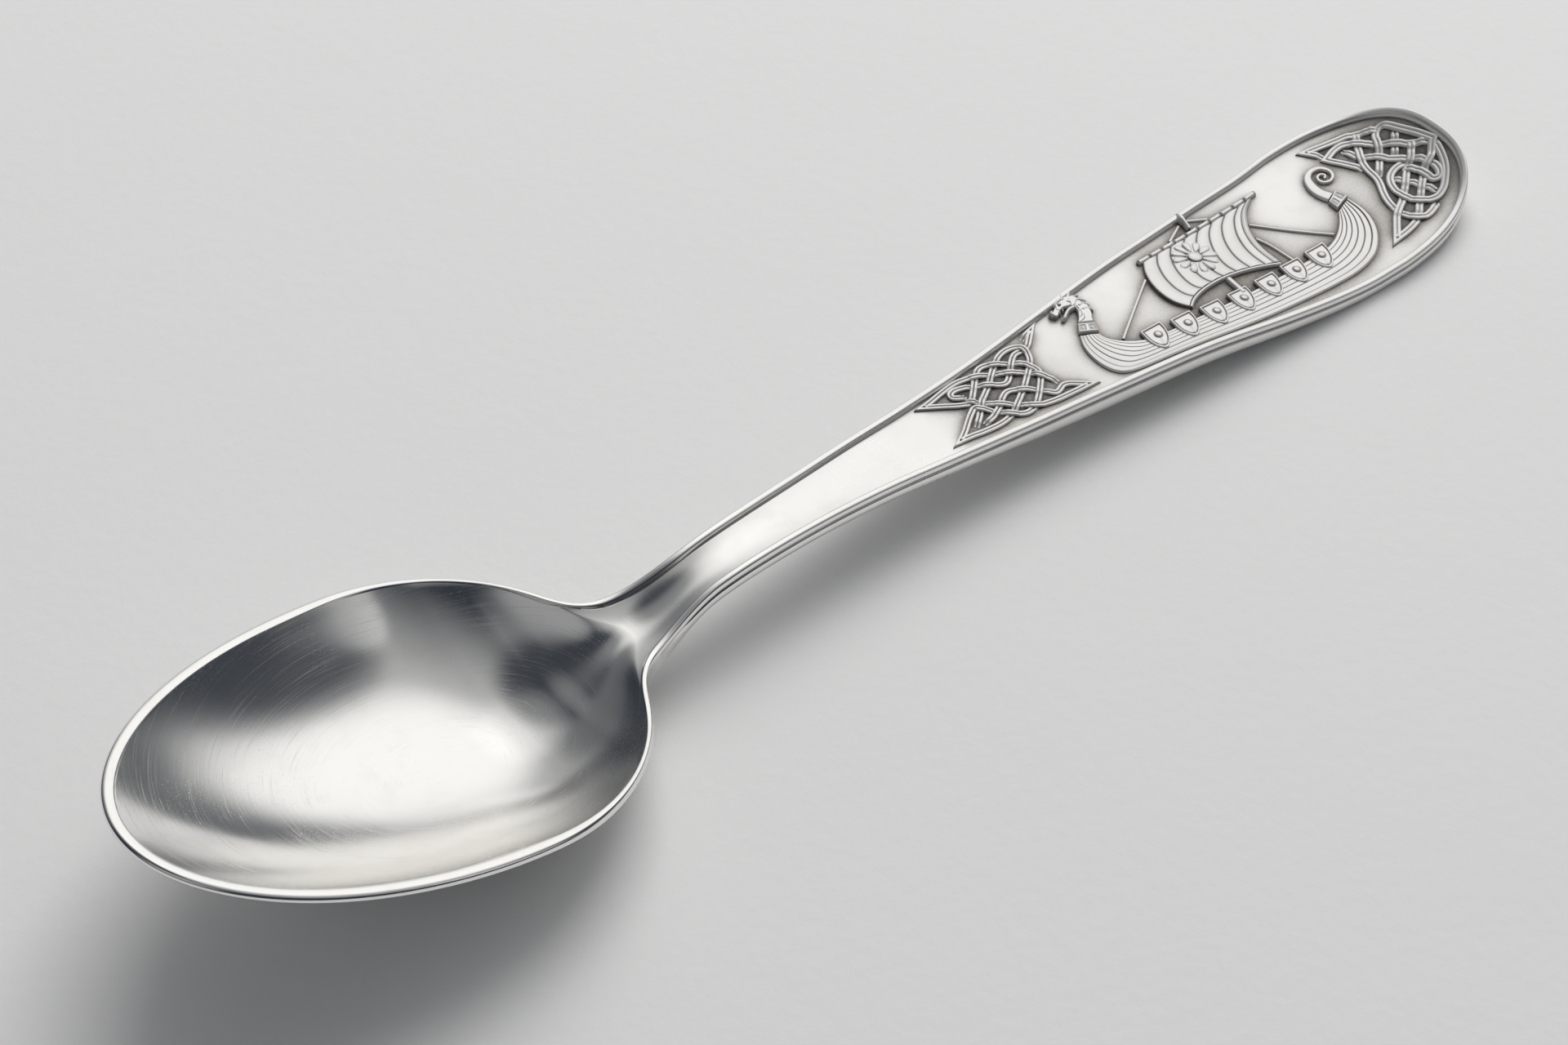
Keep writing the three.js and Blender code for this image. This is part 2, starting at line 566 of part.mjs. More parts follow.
const UPPER_KNOT = [
  [
    [[122, -5.15], [121.3, -5.38], [120.6, -5.4], [119.9, -5.05], [119.42, -4.35], [119.25, -3.5],
      [119.45, -2.4], [119.9, -1.4], [120.4, -0.5], [120.68, 0.3], [120.78, 1.2], [121.05, 2.1],
      [121.5, 2.95], [122.05, 3.75], [122.6, 4.4]],
  ],
  [
    [[119.2, 5.55], [118.7, 5.98], [117.7, 6.6]],
    [[117.7, 6.6], [119.4, 6.3], [120.7, 5.98], [121.9, 5.62], [122.9, 5.18], [123.6, 4.6], [123.95, 4.2]],
  ],
  [
    [[120.62, 2.35], [120.3, 3], [119.85, 3.9], [119.35, 4.8]],
    [[119.35, 4.8], [120.1, 5.05], [120.9, 5.05], [121.6, 4.82], [122.2, 4.25], [122.8, 3.45],
      [123.4, 2.7], [123.95, 2.05], [124.45, 1.4], [125, 0.75], [125.5, 0.2]],
  ],
  [
    [[121.2, 0.45], [121.6, 0.85], [122.3, 1.5], [123.1, 2.3], [123.7, 3], [124.15, 3.5], [124.65, 3.7],
      [125.1, 3.4], [125.35, 2.75], [125.6, 2], [125.9, 1.1], [126.15, 0.3], [126.05, -0.7]],
    [[126.05, -0.7], [125.2, -1.45], [124.3, -1.78], [123.4, -2.35], [122.5, -3], [121.5, -3.75],
      [120.5, -4.5], [119.8, -5], [119, -5.4], [117.8, -5.62], [116.2, -5.5]],
    [[116.2, -5.5], [117.2, -4.75], [118.2, -4.05], [119, -3.6], [119.9, -3.15], [120.7, -2.75],
      [121.4, -2.35], [122.1, -1.8], [122.9, -1.15], [123.55, -0.7]],
  ],
  [
    [[122.1, 2.75], [122.6, 2.1], [123.1, 1.35], [123.6, 0.55], [124.1, -0.25], [124.5, -1.1],
      [124.68, -2], [124.5, -2.75], [124.05, -3.15], [123.6, -2.95], [123.2, -2.45], [122.7, -1.75],
      [122.2, -1.15], [121.75, -0.75]],
  ],
  [
    [[123.1, 0.02], [122.5, 0.04], [121.75, -0.22], [121.08, -0.95], [120.75, -2], [120.92, -3.05],
      [121.4, -3.92], [122.1, -4.48], [122.9, -4.6], [123.7, -4.25], [124.5, -3.6], [125.1, -2.85],
      [125.5, -2.2]],
  ],
];

// Ship

const PROW_COLLAR = [[87.1, 1.35], [87.75, 2.1], [88.92, 1.38], [88.55, 0.52]];
const STERN_COLLAR = [[115.5, -0.2], [115.55, 0.85], [116.85, 1.4], [117.2, 0.25]];
const KEEL = [[86.95, 1.05], [86.4, 0.1], [86.08, -1], [86.02, -2.2], [86.3, -3.3], [86.95, -4.05],
  [88.2, -4.45], [90, -4.72], [93, -5.1], [97, -5.6], [101, -5.95], [105, -6.2], [109, -6.35],
  [112, -6.3], [114, -5.85], [115.3, -5], [116.3, -3.9], [116.95, -2.6], [117.2, -1.3], [117.12, 0.08]];
const GUNWALE = [[88.45, 0.35], [88.5, -0.1], [88.7, -0.55], [89.1, -1.05], [89.7, -1.6], [90.5, -2.1],
  [91.6, -2.5], [94, -2.78], [97.5, -2.9], [101, -2.95], [105, -2.95], [108.5, -2.85], [111.3, -2.72],
  [112.6, -2.45], [113.5, -2.05], [114.3, -1.5], [114.95, -0.9], [115.3, -0.55], [115.48, -0.42]];
const HEAD = [[87.85, 2.12], [88.45, 2.75], [88.82, 3.3], [88.88, 3.62], [88.3, 3.58], [87.85, 3.35],
  [87.55, 3.05], [87.3, 3.1], [87.1, 3.35], [87.55, 3.5], [88, 3.82], [88.4, 4.08], [87.9, 4.08],
  [87.45, 3.85], [87.1, 3.65], [86.8, 3.85], [86.66, 4.2], [86.85, 4.42], [87.3, 4.35], [87.6, 4.75],
  [88, 4.98], [88.6, 5.02], [89.05, 5.52], [89.2, 5.45], [89.12, 5.04], [89.55, 5.1], [89.92, 5.42],
  [90, 5.28], [89.68, 4.84], [90.1, 4.48], [89.75, 4.3], [90.18, 3.66], [89.82, 3.62], [89.98, 3.05],
  [89.65, 2.5], [89.25, 2], [89, 1.52]];
const SCROLL = [[116.15, 1.2], [115.85, 2.1], [115.88, 3], [116.3, 3.95], [117.1, 4.4], [117.95, 4.2],
  [118.33, 3.5], [118.15, 2.85], [117.6, 2.56], [117.08, 2.8], [116.98, 3.3], [117.28, 3.62], [117.58, 3.5]];
const SCROLL_WIDTH = [1.1, 1, 0.95, 0.9, 0.8, 0.62, 0.48, 0.42, 0.36, 0.3, 0.26, 0.24, 0.22];
const SAIL_LUFF = [[97.35, 4.42], [96.55, 3.4], [95.95, 2], [95.75, 0.6], [95.95, -0.6], [96.5, -1.5]];
const SAIL_LEECH = [[111.05, 5.38], [109.6, 4.5], [108.3, 3.1], [107.5, 1.6], [107.15, 0.2], [107.1, -1.55]];
const YARD_ENDS = [[96.95, 4.68], [111.95, 5.78]];
const FOOT_ROPE = [[96.65, -1.72], [97.6, -1.15], [99, -0.72], [100.7, -0.52], [102.4, -0.58],
  [104.2, -0.92], [105.8, -1.42], [106.95, -1.88]];
const SUN = [101.45, 2.55];
const SHIELDS = [[92, -2.62], [94.95, -3.02], [98.02, -3.25], [101.15, -3.3], [104.35, -3.28],
  [107.45, -3.2], [110.5, -3.12]];
const SHIELD_OUTLINE = [[-1, 1.08], [1.18, 1.05], [1.02, 0.2], [0.55, -0.75], [-0.1, -1.38], [-0.55, -1.52],
  [-0.95, -1.12], [-1.16, -0.3]];

// The hull is clinker built: lapped strakes from keel to gunwale that run together at both ends.
function hull() {
  const strakeCount = 6;
  const keel = new THREE.SplineCurve(KEEL.map((p) => new THREE.Vector2(...shipBoard(p))));
  const rail = new THREE.SplineCurve(GUNWALE.map((p) => new THREE.Vector2(...shipBoard(p))));
  const room = SOLDER * 2;
  const point = (u, v) => {
    const a = keel.getPointAt(u);
    const b = rail.getPointAt(u);
    const keelY = Math.max(a.y, room - fieldHalf(a.x));
    return [mix(a.x, b.x, v), mix(keelY, b.y, v)];
  };
  const relief = (v) => {
    const lap = v * strakeCount - Math.floor(Math.min(v * strakeCount, strakeCount - 1e-6));
    return mix(HULL_EDGE, HULL_HEIGHT, Math.sin(Math.PI * v)) + STRAKE_LAP * (1 - lap);
  };
  const laps = steps(strakeCount).slice(0, -1).flatMap((v) => [v + 0.004, v + 0.98 / strakeCount]);
  const top = (u, v) => onHandle(...point(u, v), SOLDER + relief(v));
  const bottom = (u, v) => onHandle(...point(u, v), SOLDER);
  return slab(steps(32), [0, ...laps.slice(1), 1], top, bottom);
}
const hullTop = SOLDER + HULL_HEIGHT + STRAKE_LAP;

// The sail hangs from the yard in bellied cloths, sewn side by side.
function sail() {
  const clothCount = 8;
  const luff = new THREE.SplineCurve(SAIL_LUFF.map((p) => new THREE.Vector2(...shipBoard(p))));
  const leech = new THREE.SplineCurve(SAIL_LEECH.map((p) => new THREE.Vector2(...shipBoard(p))));
  const foot = along(FOOT_ROPE.map(shipBoard));
  const point = (u, v) => {
    const a = luff.getPoint(v);
    const b = leech.getPoint(v);
    const low = new THREE.Vector2().lerpVectors(luff.getPoint(1), leech.getPoint(1), u);
    const raised = foot(low.x) + CORD_WIDTH * 0.65 + SOLDER;
    return [mix(a.x, b.x, u), mix(a.y, b.y, u) + (raised - low.y) * v ** 4];
  };
  const belly = (u, v) => {
    const cloth = Math.abs(Math.sin(Math.PI * u * clothCount));
    return SAIL_HEIGHT * (0.62 + 0.18 * Math.sin(Math.PI * v) + 0.2 * cloth);
  };
  const top = (u, v) => onHandle(...point(u, v), SOLDER + belly(u, v));
  const bottom = (u, v) => onHandle(...point(u, v), SOLDER);
  return slab(steps(clothCount * 4), steps(6), top, bottom);
}
const sailTop = SOLDER + SAIL_HEIGHT;

// A round-backed rod along drawn points
const ROD = [[-0.5, 0], [0.5, 0], [0.5, 0.5], [0.25, 1], [-0.25, 1], [-0.5, 0.5]];
function rod(points, width, height, step = 1.5) {
  const section = ROD.map(([x, h]) => [x * width, h * height]);
  return sweep(smooth(points.map(shipBoard), step).map(([s, y]) => [s, y, SOLDER]), section);
}

// The yard is bound to the sail with lashings at even steps.
function yard() {
  const lashingCount = 9;
  const [from, to] = YARD_ENDS.map(shipBoard);
  const route = [];
  const stop = (t, width) => route.push([mix(from[0], to[0], t), mix(from[1], to[1], t), SOLDER, width]);
  stop(0, 0.8);
  for (const t of steps(lashingCount).slice(0, -1)) {
    stop(t + 0.07 / lashingCount, 1);
    stop(t + 0.86 / lashingCount, 1);
    stop(t + 0.93 / lashingCount, 0.72);
  }
  stop(1, 0.8);
  const section = ROD.map(([x, h]) => [x * YARD_WIDTH, h * YARD_HEIGHT]);
  return sweep(route, section);
}

// The stern scroll is one tapering band that winds in on itself.
function sternScroll() {
  const route = smooth(SCROLL.map(shipBoard), 0.32);
  const last = route.length - 1;
  const widths = along(SCROLL_WIDTH.map((w, i) => [i / (SCROLL_WIDTH.length - 1), w]));
  const section = ROD.map(([x, h]) => [x, h * SCROLL_HEIGHT]);
  return sweep(route.map(([s, y], i) => [s, y, SOLDER, widths(i / last)]), section);
}

function shield([s, y]) {
  const [cs, cy] = shipBoard([s, y]);
  const seat = hullTop + SOLDER;
  const plate = plaque(SHIELD_OUTLINE.map(([a, b]) => [cs + a, cy + b]), seat, SHIELD_PLATE);
  const boss = new THREE.SphereGeometry(SHIELD_BOSS, 10, 6).scale(1, 1, 0.75);
  const at = onHandle(cs, cy, seat + SHIELD_PLATE * 0.8);
  return geometryOf(solid(plate).add(solid(boss.translate(...at))));
}

// The sun on the sail: a disc in a ring of rays.
function sun() {
  const rayCount = 12;
  const [cs, cy] = shipBoard(SUN);
  const outline = steps(rayCount * 2).slice(0, -1).map((t, i) => {
    const reach = i % 2 ? SUN_DISC : SUN_RAYS;
    return [cs + Math.cos(t * 4 * quarterTurn) * reach, cy + Math.sin(t * 4 * quarterTurn) * reach];
  });
  return plaque(outline, sailTop + SOLDER, SUN_HEIGHT, 0);
}

const seat = borderSeat();
const overBorder = (geometry) => geometryOf(solid(geometry).subtract(seat));
const quadBetween = ([a, b], [c, d], width) => {
  const run = new THREE.Vector2(c - a, d - b).normalize().multiplyScalar(width / 2);
  return [[a - run.y, b + run.x], [a + run.y, b - run.x], [c + run.y, d - run.x], [c - run.y, d + run.x]];
};

// Assembly

const SILVER = { color: 0xd9d7d2, roughness: 0.28, metalness: 1 };
const spoon = new THREE.Group();
spoon.name = "spoon";
function add(name, geometry) {
  geometry.computeVertexNormals();
  const mesh = new THREE.Mesh(geometry, new THREE.MeshStandardMaterial(SILVER));
  mesh.name = name;
  spoon.add(mesh);
}

add("bowl", bowl());
add("handle", handle());
add("border", border());
knot(LOWER_KNOT, knotBoard, LOWER_STRAND, 0.36).forEach((g, i) => add(`lower_knot_strand_${i + 1}`, g));
knot(UPPER_KNOT, crestBoard, UPPER_STRAND, 0.44).forEach((g, i) => add(`upper_knot_strand_${i + 1}`, g));
add("hull", hull());
add("figurehead", overBorder(plaque(HEAD.map(shipBoard), SOLDER, HEAD_HEIGHT)));
add("prow_collar", plaque(PROW_COLLAR.map(shipBoard), SOLDER, COLLAR_HEIGHT));
add("stern_collar", plaque(STERN_COLLAR.map(shipBoard), SOLDER, COLLAR_HEIGHT));
add("stern_scroll", sternScroll());
add("sail", sail());
add("sun", sun());
add("yard", yard());
const masthead = quadBetween(shipBoard([103.85, 5.52]), shipBoard([104.25, 7.35]), MASTHEAD_WIDTH);
add("masthead", overBorder(plaque(masthead, SOLDER, MASTHEAD_HEIGHT)));
const mastFoot = quadBetween(shipBoard([101.9, -0.82]), shipBoard([101.7, -2.75]), MAST_FOOT_WIDTH);
add("mast_foot", plaque(mastFoot, SOLDER, MAST_FOOT_HEIGHT));
add("foot_rope", rod(FOOT_ROPE, CORD_WIDTH, FOOT_ROPE_HEIGHT, 0.9));
add("forestay", rod([[96.05, 2.85], [89.55, -1.2]], CORD_WIDTH, CORD_HEIGHT));
add("backstay", rod([[108.6, 3.2], [113.25, -1.95]], CORD_WIDTH, CORD_HEIGHT));
add("sheet", rod([[107.75, 1.6], [108.1, 0.2], [108.3, -2.6]], CORD_WIDTH, CORD_HEIGHT));
add("masthead_stay_fore", rod([[103.5, 6.4], [101.4, 5.36]], CORD_WIDTH, CORD_HEIGHT));
add("masthead_stay_aft", rod([[104.55, 6.55], [106.2, 5.75]], CORD_WIDTH, CORD_HEIGHT));
SHIELDS.forEach((at, i) => add(`shield_${i + 1}`, shield(at)));

export default spoon;
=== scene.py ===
# %% [markdown]
# # A silver spoon with a longship on its handle
# The solids of the spoon are loaded first, as a frame that is never moved. Every piece made below replaces one
# or more of those solids, in the same place and size, with the surface that a silversmith would leave on it.

# %% Load the frame
import math

import bpy
import numpy as np
from mathutils import Matrix, Vector


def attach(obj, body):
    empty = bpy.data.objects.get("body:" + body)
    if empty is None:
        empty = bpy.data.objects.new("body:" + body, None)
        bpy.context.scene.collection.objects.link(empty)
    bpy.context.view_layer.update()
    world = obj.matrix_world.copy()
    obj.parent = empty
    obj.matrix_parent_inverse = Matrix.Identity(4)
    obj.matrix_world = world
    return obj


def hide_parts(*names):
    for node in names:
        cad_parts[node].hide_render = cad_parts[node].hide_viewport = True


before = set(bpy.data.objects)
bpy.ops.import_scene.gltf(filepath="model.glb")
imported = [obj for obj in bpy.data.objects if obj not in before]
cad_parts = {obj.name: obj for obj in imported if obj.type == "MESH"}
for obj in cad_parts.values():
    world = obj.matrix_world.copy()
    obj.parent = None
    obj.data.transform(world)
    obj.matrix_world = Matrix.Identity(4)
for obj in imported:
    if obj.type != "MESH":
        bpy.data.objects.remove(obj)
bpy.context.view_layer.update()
print("solids in the frame:", len(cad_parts))

# %% [markdown]
# ## The spoon's own measures
# Everything is worked out in millimetres and turned into metres when a mesh is made. Places on the spoon are
# given by s, the distance from the tip of the bowl along the spoon, by y, across it, and by h, above the
# handle's field. A drawing on the handle is then flat, and bending it onto the arch is one formula.

# %% Sizes in millimetres
MM = 0.001
BOWL_FRONT = 24.1  # tip to the widest line
BOWL_BACK = 15.5  # widest line to where the rear half ellipse would close
BOWL_HALF_WIDTH = 14.2
BOWL_WALL = 0.9
RIM_WIDTH = 0.98  # at the tip
WORN_RIM = 0.46  # the rim's width by the heel
RIM_LIP = 0.1  # crest of the rim down to the inside
RIM_EDGE = 0.5  # crest of the rim down to the outside
NECK_AT = 41.2  # this and the other places count from the bowl's tip
NECK_HALF_WIDTH = 3.35
NARROWEST_AT = 47.7  # narrowest line of the stem
STEM_HALF_WIDTH = 2.4
KNOT_AT = 70.0  # start of the lower knot
SHIP_AT = 85.2  # start of the ship
CREST_AT = 118.4  # end of the ship's panel
WIDEST_AT = 115.0  # widest line of the handle
TOE_AT = 113.5  # where the handle rests on the table
END_AT = 127.3
END_POWER = 2.45  # how square the handle's end is
PANEL_HALF_WIDTH = 8.44
BORDER_WIDTH = 0.7
BORDER_HEIGHT = 0.45
SOLDER = 0.05  # thickness of the film between two pieces
STEM_THICKNESS, PANEL_THICKNESS, TOE_THICKNESS = 1.3, 1.8, 1.2
TOE_HEIGHT = 1.64  # crest of the border above the table where the handle rests
ARCH_HEIGHT = 6.8
NECK_HEIGHT = 5.0
RIM_HEIGHT = 8.25  # at the bowl's widest line
TIP_HEIGHT = 15.3
END_RISE = 2.7  # from the toe to the end
print("length", END_AT, "mm, bowl", 2 * BOWL_HALF_WIDTH, "mm wide")

# %% [markdown]
# ## Curves
# Most lines of this spoon are drawn freehand on the real one, so they are smooth curves through a few points. A
# Bezier curve object could hold them, but numpy arrays can be measured, set out evenly and added to each other.


# %% Curves
def mix(a, b, t):
    """From a to b while t goes from 0 to 1: a + (b - a) t."""
    return a + (b - a) * t


def ease(a, b, v):
    """0 up to a and 1 from b on, with 3t^2 - 2t^3 between them."""
    t = np.clip((v - a) / (b - a), 0, 1)
    return t * t * (3 - 2 * t)


def bell(v, width):
    """1 where v is 0, falling off on both sides: exp(-(v / width)^2)."""
    return np.exp(-((v / width) ** 2))


def spline(points, count):
    """A curve through the points: between two of them the cubic whose end slopes are half of the step from
    the point before to the point after."""
    p = np.array(points, float)
    t = np.linspace(0, len(p) - 1, count)
    i = np.minimum(t.astype(int), len(p) - 2)
    w = (t - i)[:, None]
    before, a = p[np.maximum(i - 1, 0)], p[i]
    b, after = p[i + 1], p[np.minimum(i + 2, len(p) - 1)]
    leave, arrive = (b - before) / 2, (after - a) / 2
    cubic = 2 * a - 2 * b + leave + arrive
    square = 3 * b - 3 * a - 2 * leave - arrive
    return ((cubic * w + square) * w + leave) * w + a


def along(points, blur=0):
    """A value over the length s: the spline read at s, averaged with a bell-shaped window `blur` wide."""
    run = spline(points, 6001)
    s = np.linspace(run[0, 0], run[-1, 0], len(run))
    v = np.interp(s, run[:, 0], run[:, 1])
    if blur:
        n = int(blur / (s[1] - s[0])) // 2 * 2 + 1
        window = np.hanning(n + 2)[1:-1]
        head, tail = 2 * v[0] - v[n:0:-1], 2 * v[-1] - v[-2 : -n - 2 : -1]
        v = np.convolve(np.concatenate([head, v, tail]), window / window.sum(), "same")[n:-n]
    return lambda q: np.interp(q, s, v)


def lengths(line):
    """Distance along a line at each of its points: the running sum of the steps between them."""
    return np.concatenate([[0], np.cumsum(np.linalg.norm(np.diff(line, axis=0), axis=1))])


def left_of(run):
    """Directions in the plane turned by a quarter: (x, y) becomes (-y, x)."""
    return np.stack([-run[:, 1], run[:, 0]], 1)


def circle(centre, radius, count):
    """Points round a circle: the centre plus the radius times (cos, sin)."""
    angle = np.linspace(0, 2 * math.pi, count, endpoint=False)
    return np.array(centre) + radius * np.stack([np.cos(angle), np.sin(angle)], 1)


def even(points, step):
    """The same line with its points set evenly, about `step` apart: both coordinates read by arc length."""
    p = np.asarray(points, float)
    run = lengths(p)
    at = np.linspace(0, run[-1], max(2, round(run[-1] / step) + 1))
    return np.stack([np.interp(at, run, p[:, 0]), np.interp(at, run, p[:, 1])], 1)


def smooth(points, step):
    """An even run along the spline through drawn points."""
    return even(spline(points, 40 * len(points)), step)


# %% [markdown]
# ## Side view and plan
# A spoon is drawn by two curves: its side view and its plan. The side view is also averaged over a few
# millimetres, because a polished surface shows every jump of curvature as a kink in its reflections.

# %% Side view and plan
STEM = KNOT_AT - NECK_AT
KNOT = SHIP_AT - KNOT_AT
SHIP = CREST_AT - SHIP_AT
FALL = ARCH_HEIGHT - TOE_HEIGHT
edge_height = along(
    [
        (0, TIP_HEIGHT),
        (BOWL_FRONT * 0.5, mix(TIP_HEIGHT, RIM_HEIGHT, 0.52)),
        (BOWL_FRONT, RIM_HEIGHT),
        (BOWL_FRONT + BOWL_BACK * 0.68, mix(RIM_HEIGHT, NECK_HEIGHT, 0.77)),
        (NECK_AT, NECK_HEIGHT),
        (NECK_AT + STEM * 0.22, mix(NECK_HEIGHT, ARCH_HEIGHT, 0.84)),
        (NECK_AT + STEM * 0.45, ARCH_HEIGHT),
        (NECK_AT + STEM * 0.75, ARCH_HEIGHT - FALL * 0.08),
        (KNOT_AT, ARCH_HEIGHT - FALL * 0.235),
        (KNOT_AT + KNOT * 0.52, ARCH_HEIGHT - FALL * 0.38),
        (SHIP_AT, ARCH_HEIGHT - FALL * 0.465),
        (SHIP_AT + SHIP * 0.27, ARCH_HEIGHT - FALL * 0.585),
        (SHIP_AT + SHIP * 0.51, ARCH_HEIGHT - FALL * 0.81),
        (TOE_AT - SHIP * 0.11, TOE_HEIGHT + END_RISE * 0.02),
        (TOE_AT, TOE_HEIGHT),
        (mix(TOE_AT, END_AT, 0.65), TOE_HEIGHT + END_RISE * 0.26),
        (END_AT, TOE_HEIGHT + END_RISE),
    ],
    blur=5.0,
)
flare = along([(0, 0), (0.18, 0.063), (0.42, 0.285), (0.66, 0.596), (0.87, 0.891), (1, 1)])
plate_thickness = along(
    [
        (NECK_AT, STEM_THICKNESS),
        (KNOT_AT - 2.4, STEM_THICKNESS),
        (SHIP_AT, PANEL_THICKNESS),
        (TOE_AT, TOE_THICKNESS),
        (END_AT, TOE_THICKNESS),
    ]
)


def field_height(s):
    """Height of the handle's flat field: the border's crest less the border."""
    return edge_height(s) - BORDER_HEIGHT - SOLDER


def half_width(s):
    """Half width of the handle: a parabola at the neck, the flare, and a squarish half ellipse at the end."""
    back = (NARROWEST_AT - s) / (NARROWEST_AT - NECK_AT)
    neck = STEM_HALF_WIDTH + (NECK_HALF_WIDTH - STEM_HALF_WIDTH) * back**2
    t = flare((s - NARROWEST_AT) / (WIDEST_AT - NARROWEST_AT))
    panel = mix(STEM_HALF_WIDTH, PANEL_HALF_WIDTH, t)
    u = np.clip((s - WIDEST_AT) / (END_AT - WIDEST_AT), 0, 1)
    end = PANEL_HALF_WIDTH * (1 - u**END_POWER) ** (1 / END_POWER)
    return np.where(s < NARROWEST_AT, neck, np.where(s < WIDEST_AT, panel, end))


def field_half(s):
    """Half width of the field inside the border."""
    return half_width(s) - BORDER_WIDTH - SOLDER


def on_handle(s, y, h):
    """A place on the handle: s and y are kept, and h is measured up from the field."""
    return np.stack([s - END_AT / 2, y + 0 * s, field_height(s) + h], -1)


print("field at the toe", round(float(field_height(TOE_AT)), 2), "mm above the table")

# %% [markdown]
# ## From grids to meshes
# A surface is a grid of points, rows by columns. A shell is such a grid closed all round, with one number per
# point that says how dark the silver has tarnished there. A piece is one or more shells in one object.


# %% Shells and pieces
def skin(rows, columns):
    """Two triangles for each cell of a grid whose points are numbered row by row. The last column joins the
    first, so each row is a ring."""
    i = np.arange(rows - 1)[:, None] * columns
    j = np.arange(columns)
    k = (j + 1) % columns
    a, b, c, d = i + j, i + k, i + columns + k, i + columns + j
    return np.concatenate([np.stack([a, b, c], -1), np.stack([a, c, d], -1)]).reshape(-1, 3)


def shell(points, tarnish):
    """A closed surface from a grid: points nearer than a micrometre become one, triangles that lose a side
    are dropped, and all are turned round if the volume, a sixth of the sum of a . (b x c), is negative."""
    rows, columns = points.shape[:2]
    flat = points.reshape(-1, 3)
    dark = np.broadcast_to(tarnish, points.shape[:2]).reshape(-1)
    _, first, back = np.unique(np.round(flat, 3), axis=0, return_index=True, return_inverse=True)
    faces = back.reshape(-1)[skin(rows, columns)]
    a, b, c = faces.T
    faces = faces[(a != b) & (b != c) & (c != a)]
    p, dark = flat[first], dark[first]
    a, b, c = (p[faces] - p.mean(0)).transpose(1, 0, 2)
    if np.einsum("ij,ij->", a, np.cross(b, c)) < 0:
        faces = faces[:, ::-1]
    return p, faces, dark


def put(name, data):
    """A new object with the given mesh, lamp or camera, linked into the scene."""
    made = bpy.data.objects.new(name, data)
    bpy.context.scene.collection.objects.link(made)
    return made


RELIEF = []  # points of all that stands on the handle's field


def piece(name, shells, finish, nodes, crease=40):
    """One object from its shells, smooth but for edges sharper than `crease` degrees, in place of its nodes."""
    if name != "raised_bowl":
        RELIEF.extend(p for p, _, _ in shells)
    starts = np.cumsum([0] + [len(p) for p, _, _ in shells])
    points = np.concatenate([p for p, _, _ in shells]) * MM
    faces = np.concatenate([f + at for (_, f, _), at in zip(shells, starts)])
    mesh = bpy.data.meshes.new(name)
    mesh.from_pydata(points, [], faces)
    dark = np.concatenate([d for _, _, d in shells]).astype(np.float32)
    mesh.attributes.new("tarnish", "FLOAT", "POINT").data.foreach_set("value", dark)
    mesh.shade_smooth()
    mesh.set_sharp_from_angle(angle=math.radians(crease))
    mesh.materials.append(finish)
    made = put(name, mesh)
    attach(made, "root")
    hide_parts(*nodes)
    print(name, len(faces), "triangles")
    return made


# %% [markdown]
# ## Silver
# The photographed spoon is polished in the bowl and satin on the handle, with dark tarnish left in every corner
# that a cloth doesn't reach. Such a finish takes dozens of nodes, and most of them only add or multiply. A small
# class gives sockets arithmetic, so that a finish can be written and read as a formula.


# %% Sockets with arithmetic
class Wire:
    """A socket in a node tree. Arithmetic on it adds Math nodes, and `node` adds any other node."""

    def __init__(self, tree, socket=None):
        """Keeps the tree and, if there is one yet, the socket."""
        self.tree = tree
        self.socket = socket

    def node(self, kind, settings=None, sockets=None, out=0):
        """A new node: its settings first, then its sockets by name or number, each a value or a Wire."""
        made = self.tree.nodes.new(kind)
        for name, value in (settings or {}).items():
            setattr(made, name, value)
        for key, value in (sockets or {}).items():
            if isinstance(value, Wire):
                self.tree.links.new(value.socket, made.inputs[key])
            else:
                made.inputs[key].default_value = value
        return Wire(self.tree, made.outputs[out] if made.outputs else None)

    def maths(self, operation, a, b=0.0):
        """A Math node on two values or wires."""
        return self.node("ShaderNodeMath", {"operation": operation}, {0: a, 1: b})

    def __add__(self, other):
        """This plus other."""
        return self.maths("ADD", self, other)

    __radd__ = __add__

    def __mul__(self, other):
        """This times other."""
        return self.maths("MULTIPLY", self, other)

    __rmul__ = __mul__

    def __sub__(self, other):
        """This less other."""
        return self.maths("SUBTRACT", self, other)

    def __rsub__(self, other):
        """Other less this."""
        return self.maths("SUBTRACT", other, self)

    def __pow__(self, other):
        """This to the power other."""
        return self.maths("POWER", self, other)

    def between(self, low, high):
        """0 below low, 1 above high, eased between."""
        ramp = {"interpolation_type": "SMOOTHSTEP"}
        return self.node("ShaderNodeMapRange", ramp, {0: self, 1: low, 2: high, 3: 0.0, 4: 1.0})

    def colours(self, a, b):
        """Colour a where this is 0, colour b where it is 1."""
        return self.node("ShaderNodeMix", {"data_type": "RGBA"}, {0: self, 6: a, 7: b}, out=2)


def noise(place, scale, detail=3.0, stretch=(1, 1, 1), turn=0.0):
    """Noise with `scale` bumps to the metre, squeezed by `stretch` after a turn about Z."""
    axes = {"Vector": place, "Rotation": (0, 0, turn), "Scale": stretch}
    at = place.node("ShaderNodeMapping", {"vector_type": "POINT"}, axes)
    return place.node("ShaderNodeTexNoise", {}, {"Vector": at, "Scale": scale, "Detail": detail})


def new_material(name):
    """A new material, a wire to start from and its surface shader."""
    made = bpy.data.materials.new(name)
    made.use_nodes = True
    return made, Wire(made.node_tree), made.node_tree.nodes["Principled BSDF"]


def plug(wire, socket):
    """Links a wire into a socket."""
    wire.tree.links.new(wire.socket, socket)


